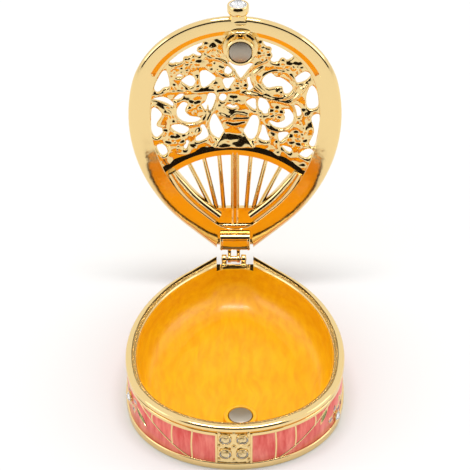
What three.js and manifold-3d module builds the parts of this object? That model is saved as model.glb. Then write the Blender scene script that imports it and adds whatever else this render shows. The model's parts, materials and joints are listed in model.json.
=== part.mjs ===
// Fan trinket box: a hinged metal box with the plan of an open fan, its lid standing open.
// Millimetres, +X to the right, +Y towards the hinge, +Z up.
// The origin is on the underside, in line with the middle of the round front.
import * as THREE from 'three';
import { mergeVertices } from 'three/addons/utils/BufferGeometryUtils.js';
import Module from 'manifold-3d';

const wasm = await Module();
wasm.setup();

const degree = Math.PI / 180;

// Plan of the box: an elliptical front, two long flank arcs, two straight sides and a flat back
const frontHalfWidth = 28;
const frontReach = 25.2;
const flankStart = 13.5 * degree;
const flankRadius = 45;
const sideAngle = 41.5 * degree;
const backHalfWidth = 4.9;
const notchDepth = 1.1;

// Heights of the box, from its underside
const footHeight = 2.1;
const bandTop = 10.9;
const railTop = 11.9;
const grooveTop = 12.4;
const boxHeight = 14;

// Steps of the outside, in from the plan
const bandRecess = 0.75;
const railRecess = 0.3;
const grooveRecess = 0.95;
const edgeRound = 0.35;
const rimRound = 0.7;

// Tray
const wall = 2.9;
const floorThickness = 1.6;
const floorFillet = 5.6;
const backFillet = 7;
const rimChamfer = 0.6;
const trayBackShare = 0.8;
const stepOverlap = 0.5;

// Hinge
const pinRadius = 0.45;
const pinClearance = 0.09;
const pinEnd = 0.1;
const pinHeight = 11.7;
const pinBehindBack = 2.15;
const hingeOffset = -0.3;
const hingeGap = 0.3;
const lugWidth = 1.35;
const lugRadius = 1.25;
const knuckleRadius = 1.05;
const barrelRadius = 0.8;
const armWidth = 0.9;
const armLift = 0.1;
const windowWidth = 1.5;
const shelfDrop = 2.2;
const lugRoot = 1;
const lugShare = 0.3;
const armShare = 0.8;
const openAngle = 96.6 * degree;

// Lid
const closedGap = 0.3;
const lidInset = 0.3;
const lidThickness = 2.5;
const lidRound = 0.55;
const ringWidth = 6.1;
const creaseWidth = 3.9;
const recessDepth = 0.9;
const creaseBack = 1.2;
const openworkInset = 2;
const plateThickness = 1.3;
const reliefHeight = 0.3;
const domeHeight = 1;
const blockWidth = 8.1;
const blockFront = 5.6;
const blockDrop = 2;
const blockRound = 0.45;
const blockDepth = 3.4;
const blockGap = 0.2;
const blockShoulder = 1;
const slotAllowance = 1;
const slotReach = 4;

// Magnets
const magnetRadius = 3;
const magnetThickness = 2;
const magnetChamfer = 0.2;
const magnetOffset = 1.4;
const magnetFromFront = 8.7;
const magnetTop = 11;
const magnetGap = 0.3;
const magnetInset = 0.1;
const seatClearance = 0.25;
const seatWall = 0.65;
const postWall = 1.1;
const seatSlack = 0.1;

// Clasp at the front of the lid
const claspOffset = 0.8;
const cupRadius = 2.85;
const cupLength = 2.6;
const neckRadius = 2.2;
const claspReach = 3.6;
const neckOverlap = 2.5;
const stemRadius = 2;
const stemReach = 3;
const stemDrop = 0.6;
const claspStoneRadius = 2.2;

// Front panel with four crystals, and the raised gold lines of the enamel
const panelWidth = 9.6;
const panelOffset = -0.3;
const panelFrame = 0.65;
const panelBottom = 1.6;
const panelDrop = 0.1;
const panelDepth = 1.4;
const postInset = 0.1;
const stoneRadius = 1.4;
const stoneSpacingX = 4.4;
const stoneSpacingZ = 4.8;
const stoneTopHeight = 10;
const stoneClearance = 0.1;
const stoneSetting = 0.25;
const stoneBack = 0.35;
const colletWall = 0.5;
const colletInset = -0.1;
const colletLength = 1;
const panelInset = 0.4;
const wireWidth = 0.55;
const wireStart = 4.8;
const wireSpacing = 5.2;
const wiresPerSide = 3;
const slantStart = 8.4;
const slantEnd = 24.5;
const slantSteps = 6;
const lineRoot = 0.4;
const slantPower = 1.5;
const sideStoneRadius = 1.1;
const sideStoneWall = 0.4;
const sideStoneHeight = { left: 8.3, right: 3.9 };
const sideStoneFromSide = { left: 1.1, right: 1.9 };

// Openwork
const strokeWidth = 1.25;
const bloom = 1.12;
const gridSteps = 28;
const fanTop = 15.1;
const fanRadius = 27.5;
const fanOffset = -0.9;
const fanBandWidth = 2.2;
const fanRidge = 0.7;
const fanHalfSpan = 40 * degree;
const stickWidth = 1.1;
const stickSpacing = 4.35;
const sticksPerSide = 3;
const hubHalfWidth = 5.9;
const hubLength = 6;
const hubLip = 0.5;
const hubOverlap = 1;
const footShrink = 0.62;
const guardWidth = 2.2;
const guardStart = 29 * degree;
const guardLap = { top: 0.3, bottom: 1.6 };
const guardEnd = 5;
const doubleStick = 1.9;

// How finely round shapes are faceted
const frontSegments = 10;
const flankSegments = 6;
const filletSegments = 3;
const roundSegments = 14;
const stoneSegments = 10;
const strokeSteps = 6;

// Materials
function finish(name, color, roughness, metalness) {
  const material = new THREE.MeshStandardMaterial({ color, roughness, metalness });
  material.name = name;
  return material;
}
const gold = finish('gilt_metal', 0xe8c66a, 0.15, 1);
const pinGold = finish('hinge_pin_metal', 0xb08a45, 0.3, 1);
const nickel = finish('nickel_magnet', 0xa8a096, 0.3, 1);
const crystal = finish('clear_crystal', 0xf2f5f7, 0.03, 0);

// A closed mesh as a solid that can be joined and cut
function solid(geometry) {
  const bare = geometry.index ? geometry.toNonIndexed() : geometry.clone();
  bare.deleteAttribute('normal');
  bare.deleteAttribute('uv');
  const merged = mergeVertices(bare, 1e-4);
  return new wasm.Manifold(new wasm.Mesh({
    numProp: 3,
    vertProperties: new Float32Array(merged.attributes.position.array),
    triVerts: new Uint32Array(merged.index.array),
  }));
}

function join(solids) {
  return solids.reduce((sum, next) => sum.add(next));
}

function geometryOf(shape) {
  const mesh = shape.getMesh();
  const geometry = new THREE.BufferGeometry();
  geometry.setAttribute('position', new THREE.BufferAttribute(new Float32Array(mesh.vertProperties), 3));
  geometry.setIndex(new THREE.BufferAttribute(new Uint32Array(mesh.triVerts), 1));
  return geometry;
}

function piece(name, shape, material) {
  const geometry = geometryOf(shape).toNonIndexed();
  geometry.computeVertexNormals();
  const mesh = new THREE.Mesh(geometry, material);
  mesh.name = name;
  return mesh;
}

// Simple shapes placed by their middle
function cylinderX(radius, length, x, y, z, sides = 12) {
  const geometry = new THREE.CylinderGeometry(radius, radius, length, sides);
  geometry.rotateZ(Math.PI / 2);
  geometry.translate(x, y, z);
  return solid(geometry);
}

function cylinderZ(radius, low, high, x, y, sides = roundSegments) {
  const geometry = new THREE.CylinderGeometry(radius, radius, high - low, sides);
  geometry.rotateX(Math.PI / 2);
  geometry.translate(x, y, (low + high) / 2);
  return solid(geometry);
}

function cylinderY(radius, front, back, x, z, sides = roundSegments) {
  const geometry = new THREE.CylinderGeometry(radius, radius, back - front, sides);
  geometry.translate(x, (front + back) / 2, z);
  return solid(geometry);
}

function block(x0, x1, y0, y1, z0, z1) {
  const geometry = new THREE.BoxGeometry(x1 - x0, y1 - y0, z1 - z0);
  geometry.translate((x0 + x1) / 2, (y0 + y1) / 2, (z0 + z1) / 2);
  return solid(geometry);
}

// The plan's fixed points
const flankJoin = new THREE.Vector2(
  frontHalfWidth * Math.cos(flankStart),
  -frontReach * Math.sin(flankStart),
);
const flankCentre = new THREE.Vector2(
  flankJoin.x - flankRadius * Math.cos(flankStart),
  flankJoin.y + flankRadius * Math.sin(flankStart),
);
const flankEnd = Math.PI / 2 - sideAngle;

// Where the straight side, moved in by an inset, reaches a given x or y
function sidePoint(inset, { x, y }) {
  const start = new THREE.Vector2(
    flankCentre.x + (flankRadius - inset) * Math.cos(flankEnd),
    flankCentre.y + (flankRadius - inset) * Math.sin(flankEnd),
  );
  const slope = Math.tan(sideAngle);
  if (x !== undefined) {
    return new THREE.Vector2(x, start.y + (start.x - x) * slope);
  }
  return new THREE.Vector2(start.x - (y - start.y) / slope, y);
}

const backCorner = sidePoint(0, { x: backHalfWidth });
const backFace = backCorner.y - notchDepth;

// Right half of the plan, moved in by an inset, from the front to the end of the flank arc
function halfPlan(inset) {
  const points = [];
  for (let i = 0; i <= frontSegments; i += 1) {
    const angle = -Math.PI / 2 + (i / frontSegments) * (Math.PI / 2 - flankStart);
    points.push(new THREE.Vector2(
      (frontHalfWidth - inset) * Math.cos(angle),
      (frontReach - inset) * Math.sin(angle),
    ));
  }
  for (let i = 1; i <= flankSegments; i += 1) {
    const angle = -flankStart + (i / flankSegments) * (flankStart + flankEnd);
    points.push(new THREE.Vector2(
      flankCentre.x + (flankRadius - inset) * Math.cos(angle),
      flankCentre.y + (flankRadius - inset) * Math.sin(angle),
    ));
  }
  return points;
}

function mirrored(half) {
  const other = half
    .filter((point) => point.x > 1e-6)
    .map((point) => new THREE.Vector2(-point.x, point.y))
    .reverse();
  return [...half, ...other];
}

// The whole plan with the notch at the hinge
function notchedPlan(inset) {
  const half = halfPlan(inset);
  half.push(sidePoint(inset, { x: backHalfWidth }));
  half.push(new THREE.Vector2(backHalfWidth, backFace - inset));
  return new THREE.Shape(mirrored(half));
}

// The whole plan with a rounded back at a given y
function roundedPlan(inset, backY, radius) {
  const half = halfPlan(inset);
  const corner = sidePoint(inset, { y: backY });
  const turn = Math.tan(sideAngle / 2);
  const reach = Math.min(radius * turn, corner.x * 0.9);
  const arcRadius = reach / turn;
  for (let i = 0; i <= filletSegments; i += 1) {
    const angle = flankEnd + (i / filletSegments) * sideAngle;
    half.push(new THREE.Vector2(
      corner.x - reach + arcRadius * Math.cos(angle),
      backY - arcRadius + arcRadius * Math.sin(angle),
    ));
  }
  return new THREE.Shape(mirrored(half));
}

// A plate between two heights, its edges rounded
function slab(shape, low, high, round = 0, steps = 1) {
  const geometry = new THREE.ExtrudeGeometry(shape, {
    depth: high - low - 2 * round,
    bevelEnabled: round > 0,
    bevelThickness: round,
    bevelSize: round,
    bevelOffset: -round,
    bevelSegments: steps,
  });
  geometry.translate(0, 0, low + round);
  return solid(geometry);
}

// Direction out of the outside wall, and the place there, at a given x on the front
function frontPlace(x, inset) {
  const width = frontHalfWidth - inset;
  const reach = frontReach - inset;
  const angle = Math.asin(THREE.MathUtils.clamp(x / width, -1, 1));
  return {
    point: new THREE.Vector2(x, -reach * Math.cos(angle)),
    turn: Math.atan2(reach * Math.sin(angle), width * Math.cos(angle)),
  };
}

// A thing modelled looking at the front, moved to its place on the curved wall
function onFront(geometry, x, z, inset) {
  const place = frontPlace(x, inset);
  geometry.rotateZ(place.turn);
  geometry.translate(place.point.x, place.point.y, z);
  return solid(geometry);
}

// Box body
const pinY = backFace + pinBehindBack;
const trayBack = backFace - wall * trayBackShare;
const panelTop = railTop - panelDrop;
const trayFront = -(frontReach - wall);
const magnetY = -(frontReach - magnetFromFront);
const crystals = [];
for (const row of [0, 1]) {
  for (const side of [-1, 1]) {
    crystals.push({
      x: panelOffset + side * stoneSpacingX / 2,
      z: stoneTopHeight - row * stoneSpacingZ,
    });
  }
}

// A line of gold on the band: a short post between two heights
function bandWire(x, low, high) {
  const depth = bandRecess + lineRoot;
  const geometry = new THREE.BoxGeometry(wireWidth, depth, high - low);
  geometry.translate(0, depth / 2, 0);
  return onFront(geometry, x, (low + high) / 2, railRecess);
}

// Height of the slanting line that closes the ribbed part of the band, at a given x
function slantHeight(x) {
  const share = (Math.abs(x) - slantStart) / (slantEnd - slantStart);
  return footHeight + (bandTop - footHeight) * share ** slantPower;
}

function bandLines() {
  const lines = [];
  for (const side of [-1, 1]) {
    for (let i = 1; i <= wiresPerSide; i += 1) {
      const x = side * (wireStart + i * wireSpacing);
      const low = Math.abs(x) < slantStart ? footHeight : slantHeight(x);
      lines.push(bandWire(x, low - lineRoot, bandTop + lineRoot));
    }
    for (let i = 0; i < slantSteps; i += 1) {
      const from = slantStart + (i / slantSteps) * (slantEnd - slantStart);
      const to = slantStart + ((i + 1) / slantSteps) * (slantEnd - slantStart);
      const middle = (from + to) / 2;
      const rise = slantHeight(to) - slantHeight(from);
      const start = frontPlace(from, railRecess).point;
      const end = frontPlace(to, railRecess).point;
      const run = start.distanceTo(end);
      const depth = bandRecess + lineRoot;
      const geometry = new THREE.BoxGeometry(Math.hypot(run, rise) + wireWidth * 0.6, depth, wireWidth);
      geometry.translate(0, depth / 2, 0);
      geometry.rotateY(-side * Math.atan2(rise, run));
      lines.push(onFront(geometry, side * middle, (slantHeight(from) + slantHeight(to)) / 2, railRecess));
    }
  }
  return lines;
}

function frontPanel() {
  const parts = [];
  const low = panelBottom;
  const height = panelTop - low;
  for (const side of [-1, 1]) {
    const geometry = new THREE.BoxGeometry(panelFrame, panelDepth, height);
    geometry.translate(0, panelDepth / 2, 0);
    const x = panelOffset + side * (panelWidth - panelFrame) / 2;
    parts.push(onFront(geometry, x, low + height / 2, postInset));
  }
  const ground = new THREE.BoxGeometry(panelWidth - panelFrame, panelDepth, height);
  ground.translate(0, panelDepth / 2, 0);
  parts.push(onFront(ground, panelOffset, low + height / 2, panelInset));
  // Collets that hold the crystals
  for (const stone of crystals) {
    const radius = stoneRadius + colletWall;
    const collet = new THREE.CylinderGeometry(radius, radius, colletLength, stoneSegments);
    collet.translate(0, colletLength / 2, 0);
    parts.push(onFront(collet, stone.x, stone.z, colletInset));
  }
  return parts;
}

// How deep a stone of a given radius needs its seat
function seatDepth(radius) {
  return stoneSetting + stoneBack * radius + stoneClearance;
}

function stoneSeat(x, z, radius, inset) {
  const length = seatDepth(radius) + colletLength;
  const opening = radius + stoneClearance;
  const seat = new THREE.CylinderGeometry(opening, opening, length, stoneSegments);
  seat.translate(0, seatDepth(radius) - length / 2, 0);
  return onFront(seat, x, z, inset);
}

// The crystals in the flower sprays at the two sides
const sideStones = [['left', -1], ['right', 1]].map(([side, sign]) => ({
  side,
  x: sign * (frontHalfWidth - sideStoneFromSide[side]),
  z: sideStoneHeight[side],
}));

function sideCollets() {
  return sideStones.map((stone) => {
    const radius = sideStoneRadius + sideStoneWall;
    const collet = new THREE.CylinderGeometry(radius, radius, colletLength, stoneSegments);
    collet.translate(0, colletLength / 2, 0);
    return onFront(collet, stone.x, stone.z, railRecess);
  });
}

function hingeLugs() {
  const parts = [];
  const inner = windowWidth / 2 + armWidth + hingeGap;
  for (const side of [-1, 1]) {
    const middle = hingeOffset + side * (inner + lugWidth / 2);
    parts.push(cylinderX(lugRadius, lugWidth, middle, pinY, pinHeight));
    parts.push(block(
      middle - lugWidth / 2,
      middle + lugWidth / 2,
      backFace - lugRoot,
      pinY,
      pinHeight - lugRadius,
      pinHeight + lugRadius * lugShare,
    ));
  }
  return parts;
}

function boxBody() {
  let body = join([
    slab(notchedPlan(0), 0, footHeight, edgeRound),
    slab(notchedPlan(bandRecess), footHeight - stepOverlap, bandTop + stepOverlap),
    slab(notchedPlan(railRecess), bandTop, railTop),
    slab(notchedPlan(grooveRecess), railTop - stepOverlap, grooveTop + stepOverlap),
    slab(notchedPlan(0), grooveTop, boxHeight, rimRound, 2),
    ...bandLines(),
    ...frontPanel(),
    ...sideCollets(),
    ...hingeLugs(),
  ]);
  const tray = slab(
    roundedPlan(wall, trayBack, backFillet),
    floorThickness,
    boxHeight + 2 * floorFillet,
    floorFillet,
    3,
  );
  const flare = slab(
    roundedPlan(wall - rimChamfer, trayBack + rimChamfer, backFillet),
    boxHeight - rimChamfer,
    boxHeight + 3 * rimChamfer,
    rimChamfer,
  );
  body = body.subtract(tray).subtract(flare);
  // The wall is cut down between the sides, for the lid's hinge block
  body = body.subtract(block(
    -backHalfWidth,
    backHalfWidth,
    trayBack - slotReach,
    backCorner.y + slotAllowance,
    boxHeight - shelfDrop,
    boxHeight + slotAllowance,
  ));
  body = body.add(join(hingeLugs()));
  const postRadius = magnetRadius + seatClearance + postWall;
  body = body.add(cylinderZ(postRadius, floorThickness - stepOverlap, magnetTop, magnetOffset, magnetY));
  body = body.subtract(cylinderZ(
    magnetRadius + seatClearance,
    magnetTop - magnetThickness - seatSlack,
    magnetTop + slotAllowance,
    magnetOffset,
    magnetY,
  ));
  body = body.subtract(cylinderX(pinRadius + pinClearance, 3 * blockWidth, hingeOffset, pinY, pinHeight));
  for (const stone of crystals) {
    body = body.subtract(stoneSeat(stone.x, stone.z, stoneRadius, colletInset));
  }
  for (const stone of sideStones) {
    body = body.subtract(stoneSeat(stone.x, stone.z, sideStoneRadius, railRecess));
  }
  return body;
}

// A round disc with softened edges, lying flat
function disc(radius, thickness, chamfer, x, y, low) {
  const profile = [
    new THREE.Vector2(0, 0),
    new THREE.Vector2(radius - chamfer, 0),
    new THREE.Vector2(radius, chamfer),
    new THREE.Vector2(radius, thickness - chamfer),
    new THREE.Vector2(radius - chamfer, thickness),
    new THREE.Vector2(0, thickness),
  ];
  const geometry = new THREE.LatheGeometry(profile, roundSegments);
  geometry.rotateX(Math.PI / 2);
  geometry.translate(x, y, low);
  return solid(geometry);
}

// A cut stone: a flat table, a sloping crown, a thin girdle and a shallow back, looking along -Y
function stone(radius) {
  const profile = [
    new THREE.Vector2(0, -stoneBack * radius),
    new THREE.Vector2(0.92 * radius, -0.12 * radius),
    new THREE.Vector2(radius, 0),
    new THREE.Vector2(radius, 0.12 * radius),
    new THREE.Vector2(0.62 * radius, 0.45 * radius),
    new THREE.Vector2(0, 0.45 * radius),
  ];
  const geometry = new THREE.LatheGeometry(profile, 8);
  geometry.rotateX(Math.PI);
  return geometry;
}

// Lid, modelled closed over the box and turned open as one group
const lidFace = boxHeight + closedGap;
const lidTop = lidFace + lidThickness;
const plateLow = lidFace + recessDepth;
const plateHigh = plateLow + plateThickness;
const plateMiddle = (plateLow + plateHigh) / 2;
const bossRadius = magnetRadius + seatClearance + seatWall;
const lidMagnetLow = magnetTop + magnetGap;

// A stroke of metal along a path of [x, y] points, flat or with a ridge along its middle
function stroke(points, width = strokeWidth, low = plateLow, high = plateHigh, ridge = 0) {
  const curve = new THREE.CatmullRomCurve3(points.map(([x, y]) => new THREE.Vector3(x, y, 0)));
  const section = new THREE.Shape([
    new THREE.Vector2(-high, -width / 2),
    new THREE.Vector2(-low, -width / 2),
    new THREE.Vector2(-low + ridge, 0),
    new THREE.Vector2(-low, width / 2),
    new THREE.Vector2(-high, width / 2),
  ]);
  if (ridge === 0) {
    section.curves.splice(2, 1);
  }
  const spans = points.length - 1;
  const steps = spans > 1 ? Math.max(spans, Math.min(strokeSteps, spans * 2)) : 1;
  return solid(new THREE.ExtrudeGeometry(section, { steps, bevelEnabled: false, extrudePath: curve }));
}

// Points along part of an ellipse
function arcPoints(x, y, radiusX, radiusY, from, to, count) {
  const points = [];
  for (let i = 0; i <= count; i += 1) {
    const angle = (from + (i / count) * (to - from)) * degree;
    points.push([x + radiusX * Math.cos(angle), y + radiusY * Math.sin(angle)]);
  }
  return points;
}

// The foliage is drawn on a grid of equal steps from the middle of the lid to its side
const grid = frontHalfWidth / gridSteps;

function stem(points, width = strokeWidth) {
  return stroke(points.map(([x, y]) => [x * grid, y * grid]), width * grid);
}

// A flat leaf, standing a little proud of the strokes, turned in its plane
function leaf(x, y, length, width, turn) {
  const outline = new THREE.Shape();
  outline.absellipse(0, 0, (length / 2) * grid, (width / 2) * grid, 0, 2 * Math.PI);
  const geometry = new THREE.ExtrudeGeometry(new THREE.Shape(outline.getPoints(2)), {
    depth: plateThickness + 2 * reliefHeight,
    bevelEnabled: false,
  });
  geometry.rotateZ(turn * degree);
  geometry.translate(x * grid, y * grid, plateLow - reliefHeight);
  return solid(geometry);
}

// A flower with round petals about a bead
function flower(gridX, gridY, size, petals = 5, turn = 0) {
  const x = gridX * grid;
  const y = gridY * grid;
  const radius = size * bloom * grid;
  const outline = [];
  for (let i = 0; i < petals * 3; i += 1) {
    const angle = turn * degree + (i / petals / 3) * 2 * Math.PI;
    const reach = radius * [0.62, 1, 1][i % 3];
    outline.push(new THREE.Vector2(x + reach * Math.cos(angle), y + reach * Math.sin(angle)));
  }
  return [
    slab(new THREE.Shape(outline), plateLow - reliefHeight, plateHigh + reliefHeight),
    cylinderZ(radius * 0.34, plateLow - 2 * reliefHeight, plateHigh + 2 * reliefHeight, x, y, 5),
  ];
}

// The band along the top of the fan's sticks
function fanPoint(angle) {
  return [
    fanOffset + fanRadius * Math.sin(angle),
    fanTop + fanRadius * (1 - Math.cos(angle)),
  ];
}

// The fan's guards follow the ring's inner edge and lie over it more and more towards the hub
function guardPath() {
  const arc = (angle, lap) => new THREE.Vector2(
    flankCentre.x + (flankRadius - ringWidth + lap) * Math.cos(angle),
    flankCentre.y + (flankRadius - ringWidth + lap) * Math.sin(angle),
  );
  const middle = (guardLap.top + guardLap.bottom) / 2;
  return [
    arc(guardStart, guardLap.top),
    arc((guardStart + flankEnd) / 2, middle),
    sidePoint(ringWidth - guardLap.bottom, { y: backFace - guardEnd }),
  ];
}

function fanSticks() {
  const parts = [];
  const band = [];
  for (let i = -4; i <= 4; i += 1) {
    band.push(fanPoint((i / 4) * fanHalfSpan));
  }
  parts.push(stroke(band, fanBandWidth, plateLow, plateHigh, fanRidge));
  const hubFront = backFace - blockFront - hubLength;
  for (let i = -sticksPerSide; i <= sticksPerSide; i += 1) {
    const angle = Math.asin((i * stickSpacing - fanOffset) / fanRadius);
    const spread = (1 - footShrink ** Math.abs(i)) / (1 - footShrink ** sticksPerSide);
    const foot = Math.sign(i) * hubHalfWidth * spread;
    const width = i === 0 ? stickWidth * doubleStick : stickWidth;
    parts.push(stroke([fanPoint(angle), [foot, hubFront + hubOverlap]], width));
  }
  const hub = new THREE.Shape([
    new THREE.Vector2(-hubHalfWidth - hubLip, hubFront),
    new THREE.Vector2(hubHalfWidth + hubLip, hubFront),
    new THREE.Vector2(blockWidth / 2, hubFront + hubLength + hubOverlap),
    new THREE.Vector2(-blockWidth / 2, hubFront + hubLength + hubOverlap),
  ]);
  parts.push(slab(hub, plateLow, plateHigh));
  for (const side of [-1, 1]) {
    const path = guardPath().map((point) => [side * point.x, point.y]);
    parts.push(stroke(path, guardWidth, plateLow, plateHigh, fanRidge));
  }
  return parts;
}

// The vase in the middle, from its lip to its foot on the band
function vase() {
  const half = [
    [0, 2.4],
    [3.9, 3.4],
    [4.1, 5],
    [3.2, 7.6],
    [2.4, 10.8],
    [3.2, 12.6],
    [4.6, 14.4],
    [5.4, 16],
  ].map(([x, y]) => new THREE.Vector2(x * grid, y * grid));
  return slab(new THREE.Shape(mirrored(half)), plateLow, plateHigh);
}

// Scrolls, stems, leaves and flowers between the vase and the ring
function foliage() {
  const parts = [];
  // The V of ribbon below the magnet
  parts.push(stem([[-8.4, -15.4], [-5.6, -12], [-1.5, -9], [1.4, -5.6]], 1));
  parts.push(stem([[9.2, -12.2], [4.8, -9.4], [1.4, -5.6]], 1));
  // C scrolls, each about a small flower, and the S stems that rise beside the vase
  parts.push(stem(arcPoints(-11.5, 3.2, 4.3, 4.9, -140, -350, 7), 0.9));
  parts.push(stem(arcPoints(11.7, 4.6, 4.3, 4.9, -40, 180, 7), 0.9));
  parts.push(stem([[-6.4, 14.6], [-7.7, 10.6], [-7.9, 7.6], [-5.8, 3.6], [-5, -1], [-5.2, -5.4]], 1));
  parts.push(stem([[6.4, 14.4], [7.4, 10], [7.1, 6], [5, 2.4], [5.3, -2.6], [5.6, -8.4]], 1));
  parts.push(...flower(-11.2, 2.4, 2.5, 5, 20));
  parts.push(...flower(11, 4.4, 2.5, 5, 60));
  // Stems that run out to the ring
  parts.push(stem([[-22, -1.2], [-16.5, -1.8], [-11, -2.6], [-5, -3.4], [1.6, -3.2]], 1.3));
  parts.push(stem([[1.6, -3.2], [7, -0.8], [12, 0.6], [16.9, -2.2], [22, 2.2]], 1.3));
  parts.push(stem([[-22, 1.2], [-18.7, 2.8], [-16.6, 7], [-16.8, 12]], 1.4));
  parts.push(stem([[22, 3.2], [19, 5], [17.4, 8], [17, 12]], 1.4));
  parts.push(stem([[-19, -8], [-16.2, -10.2], [-13, -14.4]], 1.2));
  parts.push(stem([[19.4, -8.4], [15.5, -9.8], [9, -12]], 1.2));
  parts.push(stem([[-22, 14], [-16, 13.4], [-12, 16.4]], 1.3));
  parts.push(stem([[22, 13], [17, 11.3], [12.4, 15.6]], 1.3));
  parts.push(stem([[-16.2, -10.2], [-15.4, -5.4], [-14, -1.6]], 1.2));
  parts.push(stem([[13.2, -10], [9.6, -6.4], [9, -1.6]], 1.2));
  parts.push(stem([[-8.4, 9.6], [-10.4, 12.6], [-12.8, 15.4]], 1.4));
  parts.push(stem([[8, 9.6], [10, 12.4], [12, 15.8]], 1.4));
  // The rosette on the left and the open ring on the right
  parts.push(stem(arcPoints(-11.7, -5.4, 2.6, 2.9, 0, 330, 8), 1.3));
  parts.push(stem(arcPoints(12.6, -4.6, 3.5, 3.7, 0, 330, 8), 1.2));
  // Flowers
  parts.push(...flower(-10.6, -11.4, 2.6, 5, 0));
  parts.push(...flower(-5.8, -14.6, 3, 5, 40));
  parts.push(...flower(-3.4, -8.4, 2.2, 5, 10));
  parts.push(...flower(7.8, -13.6, 2.6, 5, 30));
  parts.push(...flower(13.4, -10.4, 2.6, 5, 50));
  parts.push(...flower(17.2, -5, 2.2, 5, 0));
  parts.push(...flower(1.4, -3, 2.4, 5, 70));
  parts.push(...flower(-0.6, 1, 2.2, 5, 20));
  parts.push(...flower(-15.8, 13.6, 3, 6, 0));
  parts.push(...flower(17, 11.4, 3, 6, 20));
  parts.push(...flower(-17.2, 8, 1.9, 4, 45));
  parts.push(...flower(19.2, 5.4, 2, 4, 20));
  // Short stalks that hold the flowers inside the scrolls and the one left of the magnet
  parts.push(stem([[-11.2, 2.4], [-10.4, -2.6]]));
  parts.push(stem([[11, 4.4], [12, 0.8]]));
  parts.push(stem([[-16.2, -10.2], [-10.6, -11.4], [-5.8, -14.6]]));
  // Leaves
  parts.push(leaf(-18.6, 3, 4, 2, 55));
  parts.push(leaf(-16.4, -10, 3.4, 1.7, 20));
  parts.push(leaf(8.8, 10.8, 3.4, 1.8, -60));
  parts.push(leaf(-9.4, 11.2, 3.4, 1.8, 60));
  return parts;
}

// The plate rises gently towards its middle
function domed(shape) {
  const geometry = geometryOf(shape);
  const place = geometry.attributes.position;
  const halfLength = (backFace + frontReach) / 2 - ringWidth;
  const middleY = (backFace - frontReach) / 2;
  for (let i = 0; i < place.count; i += 1) {
    const across = place.getX(i) / (frontHalfWidth - ringWidth);
    const along = (place.getY(i) - middleY) / halfLength;
    const rise = domeHeight * Math.max(0, 1 - across ** 2 - along ** 2);
    place.setZ(i, place.getZ(i) + rise);
  }
  return solid(geometry);
}

// The ring: a rounded frame whose face slopes away at the inner edge
function lidRing() {
  const frame = slab(notchedPlan(lidInset), lidFace, lidTop, lidRound);
  const opening = roundedPlan(ringWidth, backFace - blockFront, backFillet);
  const crease = roundedPlan(creaseWidth, backFace - blockFront + creaseBack, backFillet);
  const slope = new THREE.ExtrudeGeometry(crease, {
    depth: 1,
    bevelThickness: recessDepth,
    bevelSize: ringWidth - creaseWidth,
    bevelSegments: 1,
  });
  slope.translate(0, 0, lidFace - 1);
  return frame.subtract(slab(opening, lidFace - 1, lidTop + 1)).subtract(solid(slope));
}

// Hinge block with its two arms, and the barrel that joins them below the window
function lidHinge() {
  const back = backFace - blockGap;
  const low = lidFace - blockDrop;
  const outline = new THREE.Shape([
    new THREE.Vector2(-blockWidth / 2, back - blockDepth),
    new THREE.Vector2(blockWidth / 2, back - blockDepth),
    new THREE.Vector2(blockWidth / 2, back),
    new THREE.Vector2(-blockWidth / 2, back),
  ]);
  const parts = [
    slab(outline, low, lidTop - blockGap, blockRound),
    block(
      -blockWidth / 2 - blockShoulder,
      blockWidth / 2 + blockShoulder,
      back - blockFront - blockShoulder,
      back - blockShoulder,
      lidFace + blockGap,
      lidTop - blockGap,
    ),
  ];
  for (const side of [-1, 1]) {
    const middle = hingeOffset + side * (windowWidth + armWidth) / 2;
    parts.push(cylinderX(knuckleRadius, armWidth, middle, pinY, pinHeight));
    parts.push(block(
      middle - armWidth / 2,
      middle + armWidth / 2,
      back - lugRoot,
      pinY + knuckleRadius * armShare,
      low + armLift,
      lidFace + lugRoot,
    ));
  }
  parts.push(cylinderX(barrelRadius, windowWidth + armWidth, hingeOffset, pinY, pinHeight));
  return parts;
}

// The cup of the clasp, open to the front, on its neck
const claspHeight = (lidFace + lidTop) / 2;
const claspFront = -(frontReach + claspReach - lidInset);
function claspCup() {
  const neckEnd = neckOverlap - frontReach;
  const neck = cylinderY(neckRadius, claspFront + cupLength / 2, neckEnd, claspOffset, claspHeight);
  return [
    aboveRim(neck),
    cylinderY(cupRadius, claspFront, claspFront + cupLength, claspOffset, claspHeight),
  ];
}

// The part of a shape that stays clear of the box's rim when the lid is shut
function aboveRim(shape) {
  return shape.subtract(block(
    -frontHalfWidth,
    frontHalfWidth,
    -2 * frontReach,
    trayFront + 2 * closedGap,
    lidFace - lidThickness,
    lidFace,
  ));
}

function lidCasting() {
  const stemFront = magnetY - bossRadius - stemReach;
  const openwork = domed(join([...fanSticks(), vase(), ...foliage()]));
  const trimmed = openwork.intersect(slab(
    notchedPlan(lidInset + openworkInset),
    lidFace - 1,
    lidTop + domeHeight + 1,
  ));
  let lid = join([
    lidRing(),
    trimmed,
    ...lidHinge(),
    ...claspCup(),
    cylinderZ(bossRadius, lidMagnetLow - magnetInset, plateHigh, magnetOffset, magnetY),
    cylinderZ(bossRadius + seatWall, lidFace - stemDrop, plateHigh, magnetOffset, magnetY),
    aboveRim(cylinderY(stemRadius, stemFront, magnetY, magnetOffset, lidFace + stemDrop, 12)),
  ]);
  const seat = magnetRadius + seatClearance;
  lid = lid.subtract(cylinderZ(
    seat,
    lidMagnetLow - magnetThickness,
    lidMagnetLow + magnetThickness + seatSlack,
    magnetOffset,
    magnetY,
  ));
  lid = lid.subtract(cylinderX(pinRadius + pinClearance, 3 * blockWidth, hingeOffset, pinY, pinHeight));
  lid = lid.subtract(cylinderY(
    claspStoneRadius + stoneClearance,
    claspFront - cupLength,
    claspFront + seatDepth(claspStoneRadius),
    claspOffset,
    claspHeight,
  ));
  return lid;
}

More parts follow.
